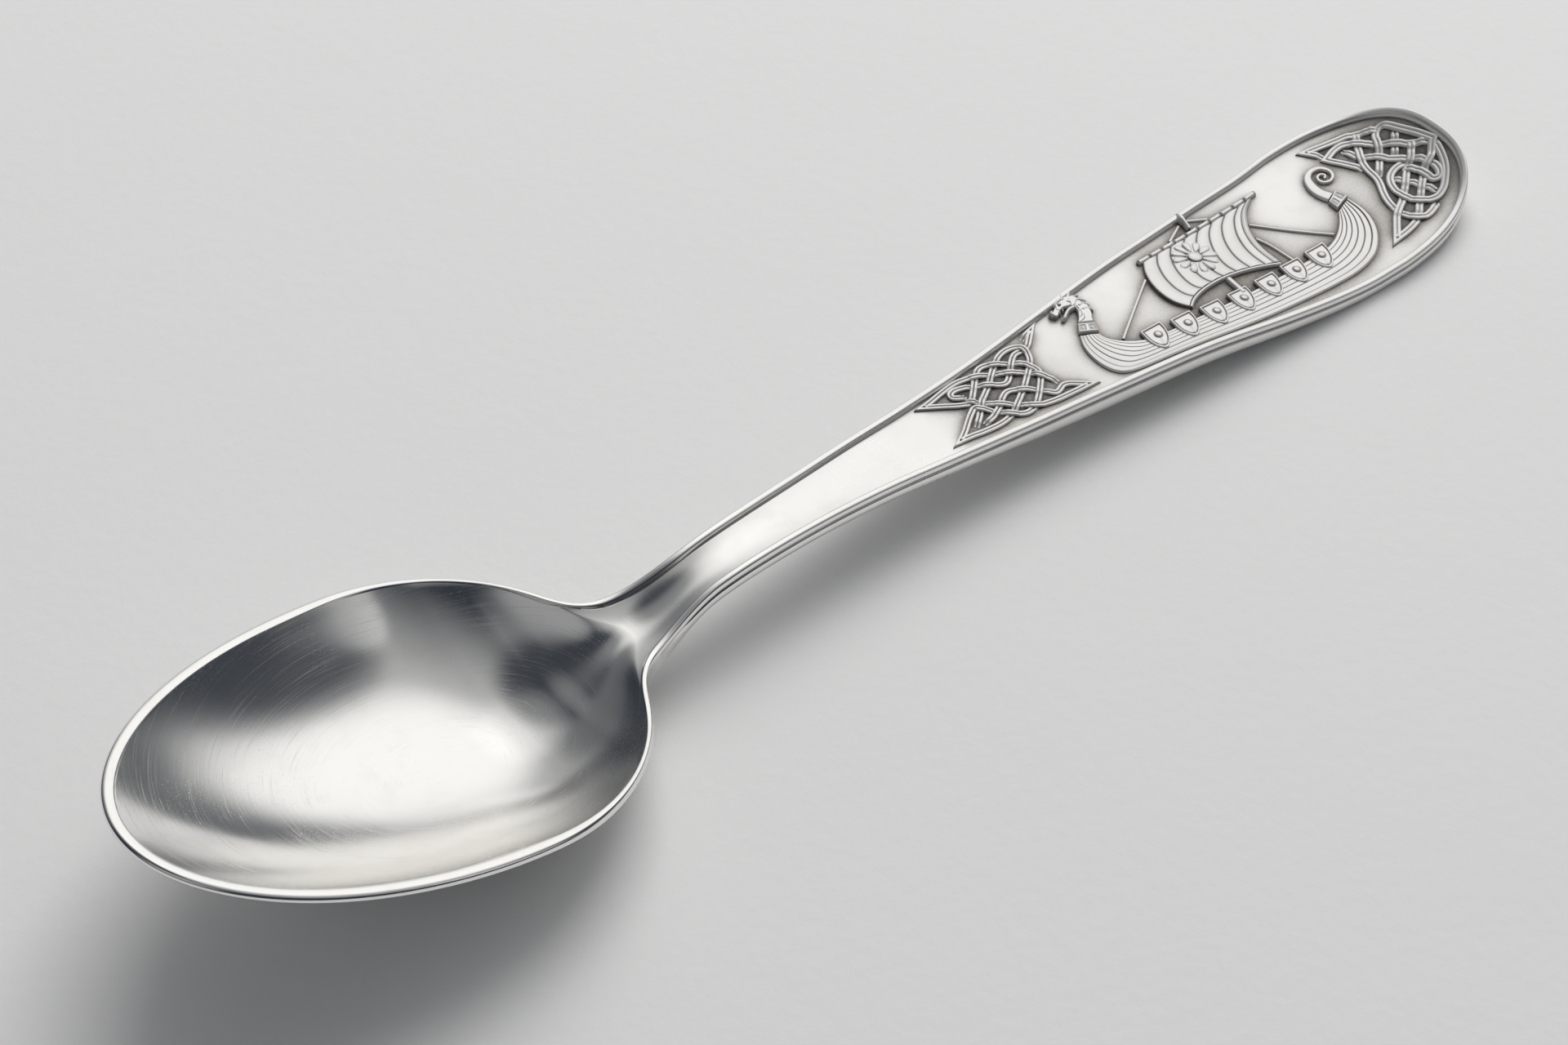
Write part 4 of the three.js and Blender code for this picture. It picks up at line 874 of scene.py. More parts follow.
# %% [markdown]
# ## The ship
# The ship is applied in pieces: a clinker hull of lapped strakes, a sail of sewn cloths, shields, and rods for
# mast, yard and rigging. Two helpers make its plates: a blanket is a grid of heights with its edges turned down
# to the field, and a boss is a round one, worked out from its centre.

# %% Blankets and bosses
WALL_TARNISH = 0.6


def blanket(s, y, h, tarnish, base=0.0):
    """A sheet of heights h over places s, y, with walls down to the base and an underside: each row goes over
    the top and back underneath, and the first and last rows close on the line half way up their ends."""
    top, low = on_handle(s, y, h), on_handle(s, y, base + 0 * h)
    loop = np.concatenate([top, low[:, ::-1]], 1)
    middle = (top + low) / 2
    close = np.concatenate([middle, middle[:, ::-1]], 1)
    dark = np.broadcast_to(tarnish, h.shape)
    dark = np.concatenate([dark, np.full_like(h, WALL_TARNISH)], 1)
    grid = np.concatenate([close[:1], loop, close[-1:]])
    return shell(grid, np.concatenate([dark[:1], dark, dark[-1:]]))


def boss(centre, rim, r, h, tarnish, base=0.0):
    """A polar sheet: r from 0 in the centre to 1 on the rim, heights h of (r, angle), a skirt and an underside."""
    centre = np.asarray(centre, float)
    flat = centre + r[:, None, None] * (np.asarray(rim) - centre)
    flat = np.concatenate([flat, flat[-1:], flat[-1:] * 0 + centre])
    low = np.full((2, h.shape[1]), base)
    dark = np.concatenate([np.broadcast_to(tarnish, h.shape), low * 0 + WALL_TARNISH])
    return shell(on_handle(flat[..., 0], flat[..., 1], np.concatenate([h, low])), dark)


# %% [markdown]
# ### Hull
# A clinker hull is planked with strakes that lap over each other, and here the laps are chased lines in one
# plate. It could be seven separate strips, but one grid between keel and gunwale keeps the lines running evenly
# into stem and stern.

# %% Hull
KEEL = [(86.95, 1.05), (86.4, 0.1), (86.08, -1), (86.02, -2.2), (86.3, -3.3), (86.95, -4.05), (88.2, -4.45),
        (90, -4.72), (93, -5.1), (97, -5.6), (101, -5.95), (105, -6.2), (109, -6.35), (112, -6.3),
        (114, -5.85), (115.3, -5), (116.3, -3.9), (116.95, -2.6), (117.2, -1.3), (117.12, 0.08)]
GUNWALE = [(88.45, 0.35), (88.5, -0.1), (88.7, -0.55), (89.1, -1.05), (89.7, -1.6), (90.5, -2.1), (91.6, -2.5),
           (94, -2.78), (97.5, -2.9), (101, -2.95), (105, -2.95), (108.5, -2.85), (111.3, -2.72),
           (112.6, -2.45), (113.5, -2.05), (114.3, -1.5), (114.95, -0.9), (115.3, -0.55), (115.48, -0.42)]
LAPS = [0.0, 0.14, 0.3, 0.46, 0.61, 0.75, 0.88, 1.0]  # keel band, five strakes and a rail
HULL_EDGE, HULL_BELLY, KEEL_BAND = 0.14, 0.09, 0.06  # heights
STRAKE_STEP, LAP_LINE = 0.04, 0.05


def by_length(points, t):
    """The spline through the points, read at shares t of its length."""
    run = even(spline(points, 2000), 0.02)
    return run[np.round(t * (len(run) - 1)).astype(int)]


def hull():
    """Straight lines from keel to gunwale. The height is a half sine across, plus a step down at each lap, a
    chased line along it, a rounded keel band and a rounded rail."""
    u, v = np.linspace(0, 1, 300), np.linspace(0, 1, 110)
    low, high = by_length(KEEL, u)[:, None], by_length(GUNWALE, u)[:, None]
    flat = mix(low, high, v[:, None])
    lap = np.interp(v, LAPS, np.arange(len(LAPS)))
    share = lap - np.floor(np.minimum(lap, len(LAPS) - 1 - 1e-6))
    ends = np.minimum(v, 1 - v)
    line = bell(np.minimum(share, 1 - share), 0.09) * (ends > 0.05)
    height = HULL_EDGE + HULL_BELLY * np.sin(math.pi * v) + STRAKE_STEP * share - LAP_LINE * line
    height = height + KEEL_BAND * (lap < 1)
    height = height * np.sqrt(np.clip(ends / 0.03, 0.2, 1))
    dark = np.clip(line * 0.75 + ease(0.03, 0.0, ends) * 0.3, 0, 1)
    return blanket(flat[..., 0], flat[..., 1], height + 0 * flat[..., 0], dark)


piece("clinker_hull", [hull()], CAST_SILVER, ["hull"])

# %% [markdown]
# ### Sail
# A square sail is sewn from upright cloths and bellies in the wind. The relief shows the seams as dark lines, so
# the height falls to a line at each seam and the tarnish is laid there.

# %% Sail
SAIL_LUFF = [(97.35, 4.42), (96.55, 3.4), (95.95, 2), (95.75, 0.6), (95.95, -0.6), (96.5, -1.5)]
SAIL_LEECH = [(111.05, 5.38), (109.6, 4.5), (108.3, 3.1), (107.5, 1.6), (107.15, 0.2), (107.1, -1.55)]
FOOT_ROPE = [(96.65, -1.72), (97.6, -1.15), (99, -0.72), (100.7, -0.52), (102.4, -0.58), (104.2, -0.92),
             (105.8, -1.42), (106.95, -1.88)]
CLOTHS = 8
SAIL_HEIGHT = 0.4


def sail_place(u, v):
    """Straight lines from luff to leech, whose lower end is raised to the foot rope by v^4."""
    luff, leech = spline(SAIL_LUFF, len(v))[:, None], spline(SAIL_LEECH, len(v))[:, None]
    flat = mix(luff, leech, u[:, None])
    foot = along(FOOT_ROPE)(flat[-1, :, 0]) + 0.16 + SOLDER
    flat[..., 1] += (foot - flat[-1, :, 1]) * v[:, None] ** 4
    return flat


def sail():
    """Each cloth is a half sine across, sunk to a seam on both sides, on a belly along the sail's height. A rope
    is sewn along the leech."""
    u, v = np.linspace(0, 1, 241), np.linspace(0, 1, 90)
    flat = sail_place(u, v)
    cloth = np.abs(np.sin(math.pi * u * CLOTHS))
    belly = 0.54 + 0.16 * np.sin(math.pi * v)[:, None] + 0.3 * cloth**0.7
    rope = bell(u - 0.975, 0.014)
    gap = bell(u - 0.945, 0.008)
    belly = belly + 0.25 * rope - 0.1 * gap
    dark = np.clip(bell(cloth, 0.24) * 0.8 * (u < 0.93) + gap * 0.8, 0, 1) + 0 * v[:, None]
    return blanket(flat[..., 0], flat[..., 1], SAIL_HEIGHT * belly, dark)


piece("sewn_sail", [sail()], CAST_SILVER, ["sail"])

# %% [markdown]
# ### Sun
# The sun on the sail is a domed disc in a ring of petals. Each petal is a short sweep that swells and closes
# again, made by the same function as the wires.


# %% Sun
def leaf(points, widths, heights, step=0.05, lift=0.0, power=3.0):
    """A rounded bar along the spline through the points, whose width and height follow given values."""
    route = smooth(points, step)
    t = np.linspace(0, 1, len(route))
    wide = np.interp(t, np.linspace(0, 1, len(widths)), widths)
    tall = np.interp(t, np.linspace(0, 1, len(heights)), heights)
    section = half_round(15, power)
    dark = ease(0.3, 0.0, section[:, 1]) + 0 * t[:, None]
    return sweep(route, section, wide, lift, tall, dark)


SUN = np.array([101.45, 2.55])
SUN_RADIUS = 0.62
RAYS = 12
PETAL_WIDTH = [0.2, 0.4, 0.54, 0.64, 0.7, 0.66, 0.42]
PETAL_HEIGHT = [0.1, 0.15, 0.17, 0.18, 0.18, 0.16, 0.08]


def sun():
    """A dome and twelve petals, evenly turned about it."""
    top = SAIL_HEIGHT + SOLDER - 0.06
    rim = circle(SUN, SUN_RADIUS, 40)
    r = np.linspace(0, 1, 14)
    h = top + 0.02 + 0.2 * np.sqrt(1 - 0.96 * r[:, None] ** 2) + 0 * rim[:, 0]
    shells = [boss(SUN, rim, r, h, ease(0.85, 1.0, r)[:, None], base=top - 0.15)]
    for turn in np.arange(RAYS) * 2 * math.pi / RAYS + 0.2:
        way = np.array([math.cos(turn), math.sin(turn)])
        points = [SUN + way * r for r in (0.74, 1.1, 1.5, 1.95)]
        shells.append(leaf(points, PETAL_WIDTH, PETAL_HEIGHT, lift=top - 0.06, power=3.5))
    return shells


piece("sail_sun", sun(), CAST_SILVER, ["sun"])

# %% [markdown]
# ### Yard, mast and ropes
# The sail hangs from a yard, which has lashings all along it. The ropes are plain silver wire, laid on the field.
# All are leaves or sweeps, so a list of end points and sizes is enough.

# %% Yard, mast and ropes
YARD = [(96.95, 4.68), (111.95, 5.78)]
YARD_WIDTH, YARD_HEIGHT = 0.46, 0.36
LASHED = 10
THIN_ROPE = (0.27, 0.18)  # width and height


def yard():
    """A rod whose width dips at every lashing: 1 - 0.25 of a narrow bell at each step."""
    route = even(YARD, 0.06)
    t = np.linspace(0, 1, len(route))
    step = t * LASHED - np.round(t * LASHED)
    dip = bell(step, 0.05) - 0.6 * bell(np.abs(step) - 0.11, 0.04)
    end = np.sqrt(np.clip(np.minimum(t, 1 - t) / 0.012, 0.2, 1))
    size = (1 - 0.25 * dip) * end
    section = half_round(17, 3.0) * (YARD_WIDTH, YARD_HEIGHT)
    foot = ease(0.3, 0, section[:, 1] / YARD_HEIGHT)
    dark = np.clip(foot + np.clip(dip, 0, 1)[:, None] * 0.9, 0, 1)
    return sweep(route, section, width=size, tall=size, tarnish=dark)


piece("lashed_yard", [yard()], CAST_SILVER, ["yard"])
ROPES = {
    "foot_rope": (FOOT_ROPE, 0.3, 0.34),
    "forestay": ([(96.05, 2.85), (89.55, -1.2)], *THIN_ROPE),
    "backstay": ([(108.6, 3.2), (113.25, -1.95)], *THIN_ROPE),
    "sheet": ([(107.75, 1.6), (108.1, 0.2), (108.3, -2.6)], *THIN_ROPE),
    "masthead_stay_fore": ([(103.5, 6.4), (101.4, 5.36)], *THIN_ROPE),
    "masthead_stay_aft": ([(104.55, 6.55), (106.2, 5.75)], *THIN_ROPE),
}
for node, (points, width, height) in ROPES.items():
    piece(node + "_wire", [leaf(points, [width] * 2, [height] * 2)], CAST_SILVER, [node])
MASTHEAD = [(103.85, 5.52), (103.98, 6.1), (104.14, 6.85), (104.25, 7.35)]
masthead = leaf(MASTHEAD, [0.46, 0.46, 0.42, 0.66, 0.62, 0.5], [0.5, 0.6, 0.66, 0.74, 0.74, 0.6])
piece("masthead_post", [masthead], CAST_SILVER, ["masthead"])
MAST_FOOT = [(101.9, -0.82), (101.7, -2.75)]
piece("mast_foot_post", [leaf(MAST_FOOT, [0.6, 0.6], [0.38, 0.38])], CAST_SILVER, ["mast_foot"])

# %% [markdown]
# ### Shields
# Seven shields hang along the gunwale, each with a raised rim, a boss and a rib. They are the same plate in seven
# places, so one polar grid is worked out from the shield's outline and set down on the hull at each centre.

# %% Shields
SHIELDS = [(92, -2.62), (94.95, -3.02), (98.02, -3.25), (101.15, -3.3), (104.35, -3.28), (107.45, -3.2),
           (110.5, -3.12)]
SHIELD_POINT = (-0.55, -1.52)
SHIELD_TOP = [(1.18, 1.05), (-1, 1.08)]
SHIELD_SIDES = [(-1, 1.08), (-1.16, -0.3), (-0.95, -1.12), SHIELD_POINT, (-0.1, -1.38), (0.55, -0.75),
                (1.02, 0.2), (1.18, 1.05)]
SHIELD_SEAT = 0.12  # the hull's height under a shield
SHIELD_HEIGHT, BOSS_RADIUS, BOSS_HEIGHT = 0.19, 0.3, 0.13


def shield(centre):
    """A polar plate: a raised rim, a line inside it, a flat field, a domed boss and a rib down to the point."""
    centre = np.array(centre)
    rim = np.concatenate([even(SHIELD_TOP, 0.06)[:-1], smooth(SHIELD_SIDES, 0.06)[:-1]])
    r = np.concatenate([np.linspace(0, 0.7, 30), np.linspace(0.72, 1, 18)])
    flat = r[:, None, None] * rim
    way = np.linalg.norm(flat, axis=-1)
    inner = bell(r - 0.8, 0.045)[:, None]
    h = SHIELD_HEIGHT + 0.05 * ease(0.78, 0.88, r)[:, None] - 0.07 * inner
    h = h - 0.1 * ease(0.94, 1.0, r)[:, None] ** 2
    dome = np.sqrt(np.clip(1 - (way / BOSS_RADIUS) ** 2, 0, 1))
    ring = bell(way - 0.34, 0.06)
    tip = np.array(SHIELD_POINT) / np.hypot(*SHIELD_POINT)
    side = flat @ np.array([-tip[1], tip[0]])
    rib = bell(side, 0.09) * ease(0.4, 0.5, flat @ tip) * ease(0.86, 0.74, r)[:, None]
    h = h + BOSS_HEIGHT * dome - 0.04 * ring + 0.04 * rib
    dark = np.clip(inner * 0.7 + ring * 0.7 + ease(0.97, 1.0, r)[:, None] * 0.2, 0, 1)
    return boss(centre, centre + rim, r, SHIELD_SEAT + h, dark + 0 * h, base=0.05)


for k, centre in enumerate(SHIELDS):
    piece(f"shield_plate_{k + 1}", [shield(centre)], CAST_SILVER, [f"shield_{k + 1}"])

# %% [markdown]
# ### Figurehead, collars and stern
# The beast's head on the prow and the curled stern are built as an engraver would cut them: flat shapes
# first, then one tapering stroke after another. Each stroke is a leaf, and they lie over each other.

# %% Figurehead, collars and stern
HEAD_PLATES = [
    # neck, skull and snout: centre, outline, height
    ((89.2, 3.0), [(87.75, 2.1), (88.1, 2.4), (88.5, 2.85), (88.8, 3.3), (88.9, 3.65), (89.0, 4.1), (89.4, 4.3),
                   (89.75, 4.2), (89.85, 3.6), (89.95, 3.2), (89.8, 2.9), (89.65, 2.55), (89.45, 2.2),
                   (89.05, 1.75), (88.85, 1.5)], 0.42),
    ((88.6, 4.45), [(87.3, 4.25), (87.5, 4.5), (87.65, 4.8), (87.95, 4.95), (88.6, 5.0), (89.2, 4.95), (89.6, 4.75),
                    (89.85, 4.45), (89.6, 4.1), (89.2, 3.8), (88.8, 3.75), (88.35, 4.02), (88.1, 4.12),
                    (87.8, 4.1), (87.5, 4.0)], 0.5),
    ((87.2, 4.1), [(87.5, 3.97), (87.1, 3.68), (86.85, 3.8), (86.66, 4.05), (86.72, 4.33), (86.95, 4.42),
                   (87.25, 4.34), (87.55, 4.5), (87.85, 4.4), (87.85, 4.12)], 0.46),
]
TOOTH = ([0.2, 0.04], [0.44, 0.36])  # widths and heights along a stroke
SCALE = ([0.08, 0.2, 0.08], [0.46, 0.53, 0.48])
HEAD_STROKES = [
    # lower jaw and chin
    ([(88.9, 3.8), (88.35, 3.74), (87.85, 3.52), (87.4, 3.24)], [0.5, 0.4, 0.36, 0.36], [0.45, 0.46, 0.44, 0.4]),
    ([(87.55, 3.42), (87.32, 3.2), (87.13, 3.32)], [0.2, 0.32, 0.16], [0.42, 0.5, 0.34]),
    # teeth
    ([(87.95, 4.1), (87.9, 3.86)], *TOOTH),
    ([(87.5, 4.0), (87.5, 3.76)], *TOOTH),
    # brow, cheek and nostril
    ([(88.8, 4.8), (88.25, 4.86), (87.7, 4.66)], [0.12, 0.26, 0.1], [0.55, 0.64, 0.52]),
    ([(88.75, 4.5), (88.95, 4.2), (88.7, 3.95), (88.4, 4.1)], [0.1, 0.2, 0.2, 0.08], [0.54, 0.6, 0.6, 0.52]),
    ([(86.98, 3.88), (86.78, 4.1), (86.95, 4.3), (87.15, 4.2)], [0.12, 0.22, 0.2, 0.1], [0.46, 0.58, 0.58, 0.5]),
    # ears
    ([(88.55, 4.85), (88.82, 5.15), (89.1, 5.55)], [0.42, 0.32, 0.05], [0.5, 0.54, 0.44]),
    ([(89.1, 4.75), (89.5, 5.02), (89.95, 5.4)], [0.42, 0.32, 0.05], [0.48, 0.52, 0.4]),
    # mane
    ([(89.0, 4.5), (89.6, 4.68), (90.12, 4.52)], [0.4, 0.32, 0.05], [0.52, 0.5, 0.34]),
    ([(89.2, 4.1), (89.75, 4.2), (90.2, 3.75)], [0.4, 0.32, 0.05], [0.5, 0.48, 0.32]),
    ([(89.3, 3.6), (89.8, 3.62), (90.08, 3.2)], [0.4, 0.3, 0.05], [0.48, 0.46, 0.3]),
    ([(89.25, 3.1), (89.7, 3.02), (89.9, 2.55)], [0.36, 0.28, 0.05], [0.48, 0.45, 0.3]),
    # scales down the throat
    ([(88.65, 2.95), (89.0, 3.25), (89.1, 3.75)], *SCALE),
    ([(88.35, 2.5), (88.8, 2.7), (89.05, 3.15)], *SCALE),
    ([(88.05, 2.15), (88.6, 2.25), (88.95, 2.65)], *SCALE),
]
EYE = (88.02, 4.52)
PROW_COLLAR = [(87.1, 1.35), (87.75, 2.1), (88.92, 1.38), (88.55, 0.52)]
STERN_COLLAR = [(115.5, -0.2), (115.55, 0.85), (116.85, 1.4), (117.2, 0.25)]
SCROLL = [(116.15, 1.2), (115.85, 2.1), (115.88, 3), (116.3, 3.95), (117.1, 4.4), (117.95, 4.2), (118.33, 3.5),
          (118.15, 2.85), (117.6, 2.56), (117.08, 2.75), (116.9, 3.2), (117.1, 3.58), (117.5, 3.62), (117.7, 3.35),
          (117.55, 3.12), (117.38, 3.16)]
COLLAR_HEIGHT = 0.34
SCROLL_WIDTH = [1.1, 1.05, 1.0, 0.95, 0.82, 0.64, 0.52, 0.46, 0.4, 0.36, 0.32, 0.3, 0.28, 0.26, 0.24, 0.22]


def button(centre, radius, height, lift):
    """A small dome: height sqrt(1 - r^2) over a circle."""
    rim = circle(centre, radius, 24)
    r = np.linspace(0, 1, 9)
    h = lift + height * np.sqrt(1 - 0.98 * r[:, None] ** 2) + 0 * rim[:, 0]
    return boss(centre, rim, r, h, ease(0.7, 1, r)[:, None], base=lift - 0.2)


def cut_plate(centre, points, height):
    """A flat plate over a smooth outline, its edge rounded down to two thirds of its height."""
    rim = smooth([*points, points[0]], 0.06)[:-1]
    r = np.concatenate([np.linspace(0, 0.8, 9), np.linspace(0.84, 1, 9)])
    h = height * (1 - 0.35 * ease(0.8, 1.0, r)[:, None] ** 2) + 0 * rim[:, 0]
    return boss(centre, rim, r, h, ease(0.9, 1.0, r)[:, None] * 0.4)


def collar(corners):
    """A plate over four corners: a raised frame and bar, and a pyramid in each of the two panels, whose
    height falls with the larger of the two distances from its middle."""
    a, b, c, d = np.array(corners)
    u, v = np.linspace(0, 1, 46), np.linspace(0, 1, 34)
    near, far = mix(a, d, u[:, None])[:, None], mix(b, c, u[:, None])[:, None]
    flat = mix(near, far, v[:, None])
    panel = np.minimum(u * 2, 1.999)
    across = np.abs(u * 2 - np.floor(panel) - 0.5)[:, None] * 2
    high = np.abs(v - 0.5) * 2
    inside = np.maximum(across, high)
    frame_band = ease(0.62, 0.72, inside)
    diamond = np.clip(1 - (across + high) / 0.6, 0, 1)
    edge = np.minimum(np.minimum(u, 1 - u)[:, None], np.minimum(v, 1 - v))
    h = COLLAR_HEIGHT + 0.05 * frame_band + 0.08 * diamond - 0.12 * ease(0.05, 0, edge)
    dark = (1 - frame_band) * (1 - diamond) * 0.4
    return blanket(flat[..., 0], flat[..., 1], h, dark)


head = [cut_plate(*plate) for plate in HEAD_PLATES] + [leaf(*stroke) for stroke in HEAD_STROKES]
head.append(button(EYE, radius=0.16, height=0.16, lift=0.5))
piece("beast_head", head, CAST_SILVER, ["figurehead"])
scroll = [leaf(SCROLL, SCROLL_WIDTH, [0.3, 0.3, 0.28, 0.27, 0.26], power=6)]
piece("stern_curl", scroll, CAST_SILVER, ["stern_scroll"])
for name, corners in {"prow_collar": PROW_COLLAR, "stern_collar": STERN_COLLAR}.items():
    piece(name + "_plate", [collar(corners)], CAST_SILVER, [name])

# %% [markdown]
# ## The handle plate
# The plate carries everything above, so it is made last: its tarnish depends on how near the ornaments are. A
# ring of points goes across the field, down the far edge, back along the underside and up the near edge, and
# such rings follow each other along the handle.

# %% Handle plate
CELL = 0.1  # side of a raster cell
NEAR_AND_FAR = ((0.5, 0.25), (0.5, 1.7))  # shares and reaches of the dark round the relief


def crowding(s, y):
    """How much relief stands near a place: cells of a raster that hold relief count 1, and every place takes
    the mean of its neighbours, weighted by exp(-distance / reach), by way of a Fourier transform."""
    points = np.concatenate(RELIEF)
    low, high = np.array([NECK_AT - 2, -11.0]), np.array([END_AT + 3, 11.0])
    count = np.round((high - low) / CELL).astype(int)
    place = points[:, :2] + (END_AT / 2, 0)
    cover = np.histogram2d(*place.T, bins=count, range=np.stack([low, high], 1))[0] > 0
    away = [np.minimum(np.arange(n), n - np.arange(n)) * CELL for n in count]
    gap = np.hypot(away[0][:, None], away[1])
    falls = [(share, np.exp(-gap / reach)) for share, reach in NEAR_AND_FAR]
    weight = sum(share * fall / fall.sum() for share, fall in falls)
    dense = np.fft.irfft2(np.fft.rfft2(cover) * np.fft.rfft2(weight), s=cover.shape)
    i, j = (s - low[0]) / CELL - 0.5, (y - low[1]) / CELL - 0.5
    a, b = i.astype(int), j.astype(int)
    u, v = i - a, j - b
    return mix(mix(dense[a, b], dense[a + 1, b], u), mix(dense[a, b + 1], dense[a + 1, b + 1], u), v)


EDGE_PROFILE = np.array([(-0.14, 0.0), (-0.16, 0.05), (-0.12, 0.1), (0.0, 0.15), (0.05, 0.3), (0.06, 0.5),
                         (0.03, 0.68), (-0.06, 0.82), (-0.2, 0.92), (-0.42, 0.98), (-0.7, 1.0)])


def handle():
    """Edge profile: a small groove under the border, a slightly full side and a rounded lower edge, given as
    (out of the plate, share of its thickness). Its top takes up the bowl's floor at the neck."""
    at = np.concatenate([np.linspace(NECK_AT + SOLDER, KNOT_AT - 1, 110)[:-1], stations(KNOT_AT - 1, 0.14, 120)])
    loop, out = outline(at)
    p, n = loop[: len(at)], out[: len(at)]
    grown = ease(NECK_AT, NECK_AT + 6, at)[:, None]
    profile = EDGE_PROFILE
    push = profile[:, 0] * grown
    sink = -profile[:, 1] * plate_thickness(at)[:, None]
    side_s, side_y = p[:, :1] + push * n[:, :1], np.maximum(p[:, 1:] + push * n[:, 1:], 0)
    v = np.linspace(-1, 1, 112)
    top = np.stack([side_s[:, :1] + 0 * v, side_y[:, :1] * v], -1)
    inside = side_y[:, :1] - np.abs(top[..., 1])
    hidden = np.clip(inside / (BORDER_WIDTH + SOLDER + profile[0, 0] * grown), 0, 1)
    dip = (floor_height(*top.transpose(2, 0, 1)) - field_height(top[..., 0])) * hidden
    w = np.linspace(1, -1, 24)[1:-1]
    under = np.stack([side_s[:, -1:] + 0 * w, side_y[:, -1:] * w], -1)
    far = np.stack([side_s, side_y], -1)
    near = (far * (1, -1))[:, ::-1]
    flat = np.concatenate([top, far[:, 1:], under, near[:, :-1]], 1)
    h = np.concatenate([dip, sink[:, 1:], sink[:, -1:] + 0 * w, sink[:, ::-1][:, :-1]], 1)
    points = on_handle(flat[..., 0], flat[..., 1], h)
    points[..., 2] = np.maximum(points[..., 2], 0)
    tarnish = np.clip(crowding(top[..., 0], top[..., 1]) * 1.7 - 0.08, 0, 1)
    edge = np.zeros(points.shape[:2])
    edge[:, : len(v)] = tarnish
    notch = bell(profile[:, 1] - 0.06, 0.05) * 0.9 * grown
    edge[:, len(v) : len(v) + len(profile) - 1] = notch[:, 1:]
    edge[:, -len(profile) + 1 :] = notch[:, ::-1][:, :-1]
    cap = end_rows(points[0])[::-1]
    return shell(np.concatenate([cap, points]), np.concatenate([edge[:1], edge[:1], edge]))


piece("handle_plate", [handle()], FIELD_SILVER, ["handle"], crease=50)

# %% [markdown]
# ## Table, light and camera
# The spoon lies on pale grey paper. The paper belongs to the stage and not to the spoon.


# %% Paper
def paper():
    """A plane with the fine tooth of paper: two noises as bump, and a faint change of tone."""
    made, start, shader = new_material("grey_paper")
    place = start.node("ShaderNodeTexCoord", out="Object")
    tone = noise(place, 60, 4)
    plug((tone * 0.3 + 0.35).colours((0.82, 0.82, 0.82, 1), (0.86, 0.86, 0.86, 1)), shader.inputs["Base Color"])
    shader.inputs["Roughness"].default_value = 0.9
    tooth = noise(place, 900, 5) + noise(place, 240, 3) * 0.8
    bump = {"Height": tooth, "Strength": 0.12, "Distance": 0.0003}
    plug(start.node("ShaderNodeBump", {}, bump), shader.inputs["Normal"])
    size = 3.0  # metres from the middle to an edge
    mesh = bpy.data.meshes.new("paper")
    mesh.from_pydata([(-size, -size, 0), (size, -size, 0), (size, size, 0), (-size, size, 0)], [], [(0, 1, 2, 3)])
    mesh.materials.append(made)
    sheet = put("paper", mesh)
    print("paper", 2 * size, "m wide")


paper()


# %% [markdown]
# ### Room
# A polished bowl shows the room, so the room is what makes it look like silver: a soft box behind the spoon, a few
# pale walls, and dark places between them. A world shader can give a brightness to every direction, which is
# easier to aim than a dozen lamps. One lamp adds the shadow on the paper, and is kept out of the reflections.

# %% Room
SOFT_BOX = (28, 40)  # azimuth and elevation in degrees
SLOPE_FROM, SLOPE = 0.12, 0.62
CORE, CORE_LIGHT = (0.75, 0.95), 0.39
DARK_PLACES = [  # direction, angle of full dark, angle where it ends, share of the light taken away
    ((141, 58), 21, 34, 0.94),
    ((108, 28), 12, 30, 0.6),
    ((-31, 19), 9, 29, 0.93),
]
PALE_PLACES = [  # direction, cosines where it starts and is full, light added
    ((-51, 30), 0.972, 0.993, 0.3),
    ((-165, 38), 0.83, 0.985, 0.26),
    ((60, 3), 0.93, 0.99, 0.36),
    ((80, 58), 0.9, 0.98, 0.15),
]
HORIZON, AT_TABLE = (0.13, 0.31), 0.18  # sines of the angles that the light fades between, and what is left
DIM, BRIGHTEST = (0.029, 0.036, 0.048, 1), (1.16, 1.16, 1.15, 1)
BACKDROP = (0.62, 0.62, 0.62, 1)


def toward(azimuth, elevation):
    """A direction from its angles in degrees, azimuth from +X towards +Y."""
    a, e = math.radians(azimuth), math.radians(elevation)
    return (math.cos(a) * math.cos(e), math.sin(a) * math.cos(e), math.sin(e))


def window(azimuth, elevation, distance_mm, width, height, watts, colour):
    """An area lamp that faces the spoon from a direction."""
    lamp = bpy.data.lights.new("window", "AREA")
    lamp.shape = "RECTANGLE"
    lamp.size, lamp.size_y = width * MM, height * MM
    lamp.energy = watts
    lamp.color = colour
    made = put("window", lamp)
    way = toward(azimuth, elevation)
    turn = Vector(way).to_track_quat("Z", "Y").to_matrix().to_4x4()
    made.matrix_world = Matrix.Translation([c * distance_mm * MM for c in way]) @ turn
    made.visible_camera = False
    return made


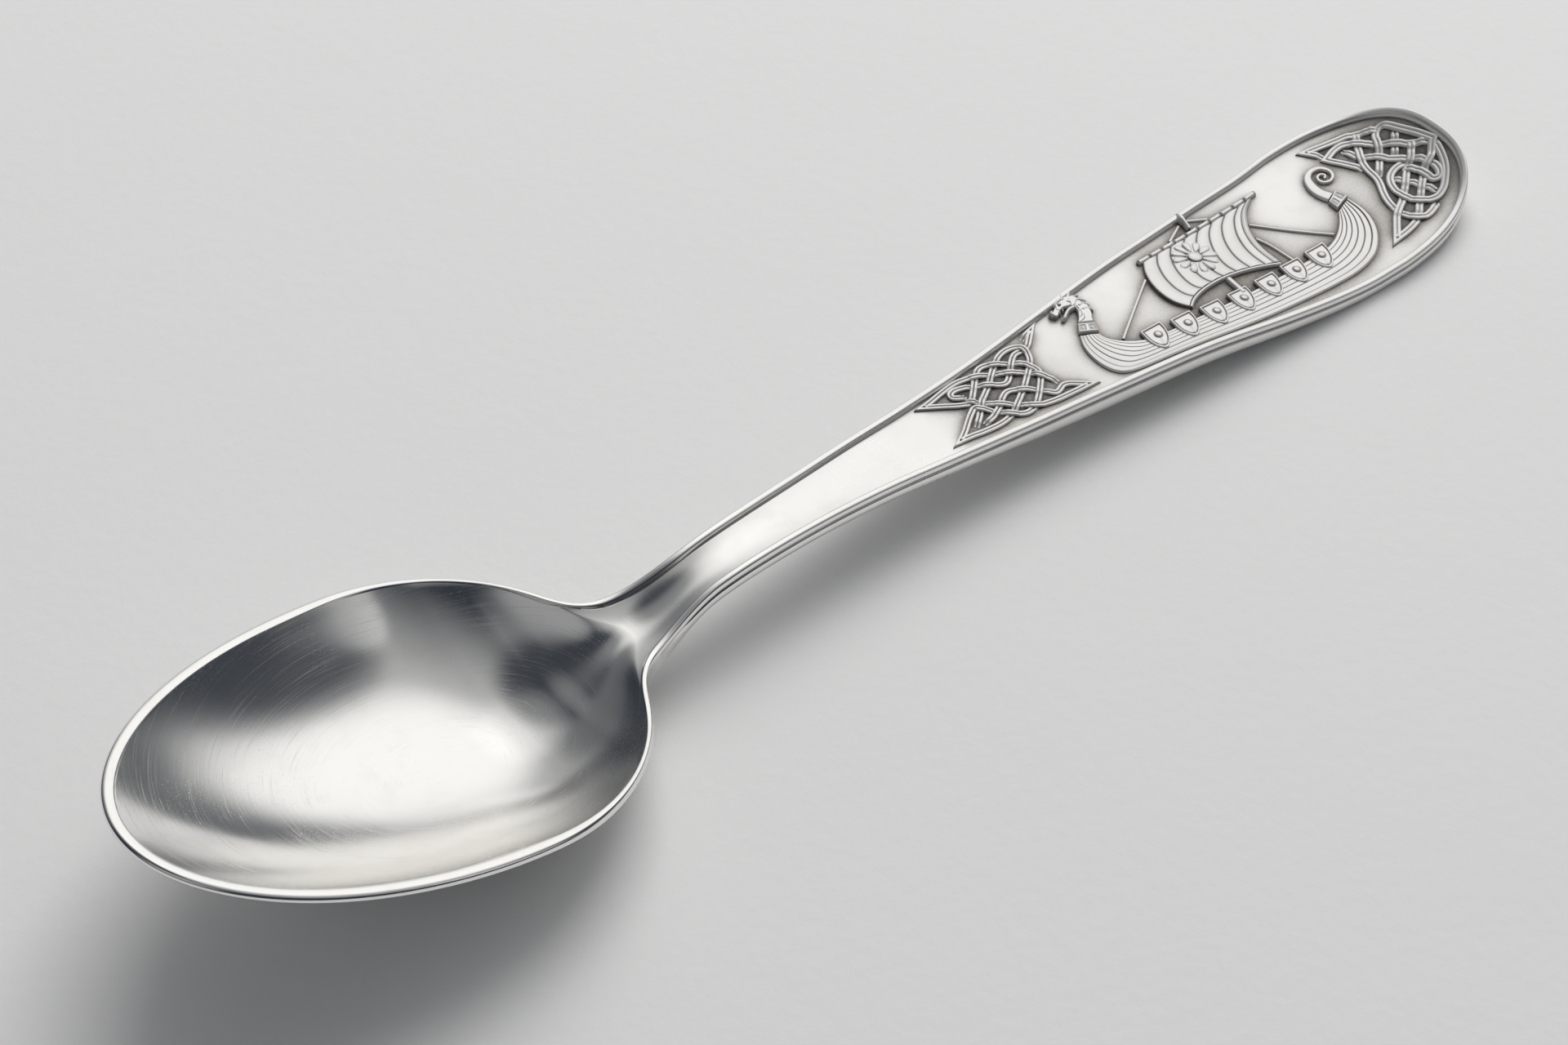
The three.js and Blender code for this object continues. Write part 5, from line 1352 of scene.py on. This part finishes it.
def room():
    """Brightness by direction: it grows with the cosine of the angle to a soft box behind the spoon, has the
    box itself as a bright core, and is dimmed in the dark places of the room and down to the horizon. The pale
    places are added to that."""
    world = bpy.data.worlds.new("room")
    bpy.context.scene.world = world
    world.use_nodes = True
    world.node_tree.nodes.clear()
    start = Wire(world.node_tree)
    way = start.node("ShaderNodeTexCoord", out="Generated")
    facing = lambda where: start.node(
        "ShaderNodeVectorMath", {"operation": "DOT_PRODUCT"}, {0: way, 1: toward(*where)}, out="Value"
    )
    front = facing(SOFT_BOX)
    slope = start.maths("MAXIMUM", front - SLOPE_FROM, 0.0) * SLOPE
    light = slope + front.between(*CORE) * CORE_LIGHT
    for where, inner, outer, share in DARK_PLACES:
        edges = [math.cos(math.radians(angle)) for angle in (outer, inner)]
        light = light * (1 - facing(where).between(*edges) * share)
    light = light * (facing((0, 90)).between(*HORIZON) * (1 - AT_TABLE) + AT_TABLE)
    for where, wide, near, share in PALE_PLACES:
        light = light + facing(where).between(wide, near) * share
    seen = light.colours(DIM, BRIGHTEST)
    mirrored = start.node("ShaderNodeBackground", {}, {"Color": seen})
    pale = start.node("ShaderNodeBackground", {}, {"Color": BACKDROP})
    camera_ray = start.node("ShaderNodeLightPath", out="Is Camera Ray")
    both = start.node("ShaderNodeMixShader", {}, {0: camera_ray, 1: mirrored, 2: pale})
    start.node("ShaderNodeOutputWorld", {}, {"Surface": both})


room()
key = window(36, 52, distance_mm=600, width=430, height=430, watts=2.2, colour=(1.0, 0.985, 0.97))
key.visible_glossy = False
print("room:", len(PALE_PLACES), "pale and", len(DARK_PLACES), "dark places")

# %% [markdown]
# ### Camera
# The camera looks down on the spoon from the side of the bowl's tip. Its three axes are worked out from a turn and
# a tilt, and they are the columns of its matrix. A camera always looks along its own -Z.

# %% Camera
CAMERA_AT = (-109.54, -119.73, 179.90)
SENSOR_WIDTH, FOCAL_LENGTH = 36, 73.125
NEAR_CLIP = 10 * MM
CAMERA_TURN = math.radians(40.3)
CAMERA_DOWN = math.radians(48.0)
ahead = np.array([math.sin(CAMERA_TURN), math.cos(CAMERA_TURN), 0])
right = np.array([math.cos(CAMERA_TURN), -math.sin(CAMERA_TURN), 0])
upward = ahead * math.sin(CAMERA_DOWN) + np.array([0, 0, math.cos(CAMERA_DOWN)])
back = -ahead * math.cos(CAMERA_DOWN) + np.array([0, 0, math.sin(CAMERA_DOWN)])
lens = bpy.data.cameras.new("camera")
lens.sensor_fit = "HORIZONTAL"
lens.sensor_width = SENSOR_WIDTH
lens.lens = FOCAL_LENGTH
lens.clip_start = NEAR_CLIP
camera = put("camera", lens)
columns = np.stack([right, upward, back, np.array(CAMERA_AT) * MM], 1)
camera.matrix_world = Matrix([*columns.tolist(), [0, 0, 0, 1]])
bpy.context.scene.camera = camera
bpy.context.scene.view_settings.view_transform = "Standard"
print("camera at", CAMERA_AT, "mm")

# %% [markdown]
# ## Finish

# %% Finish
print("scene built")
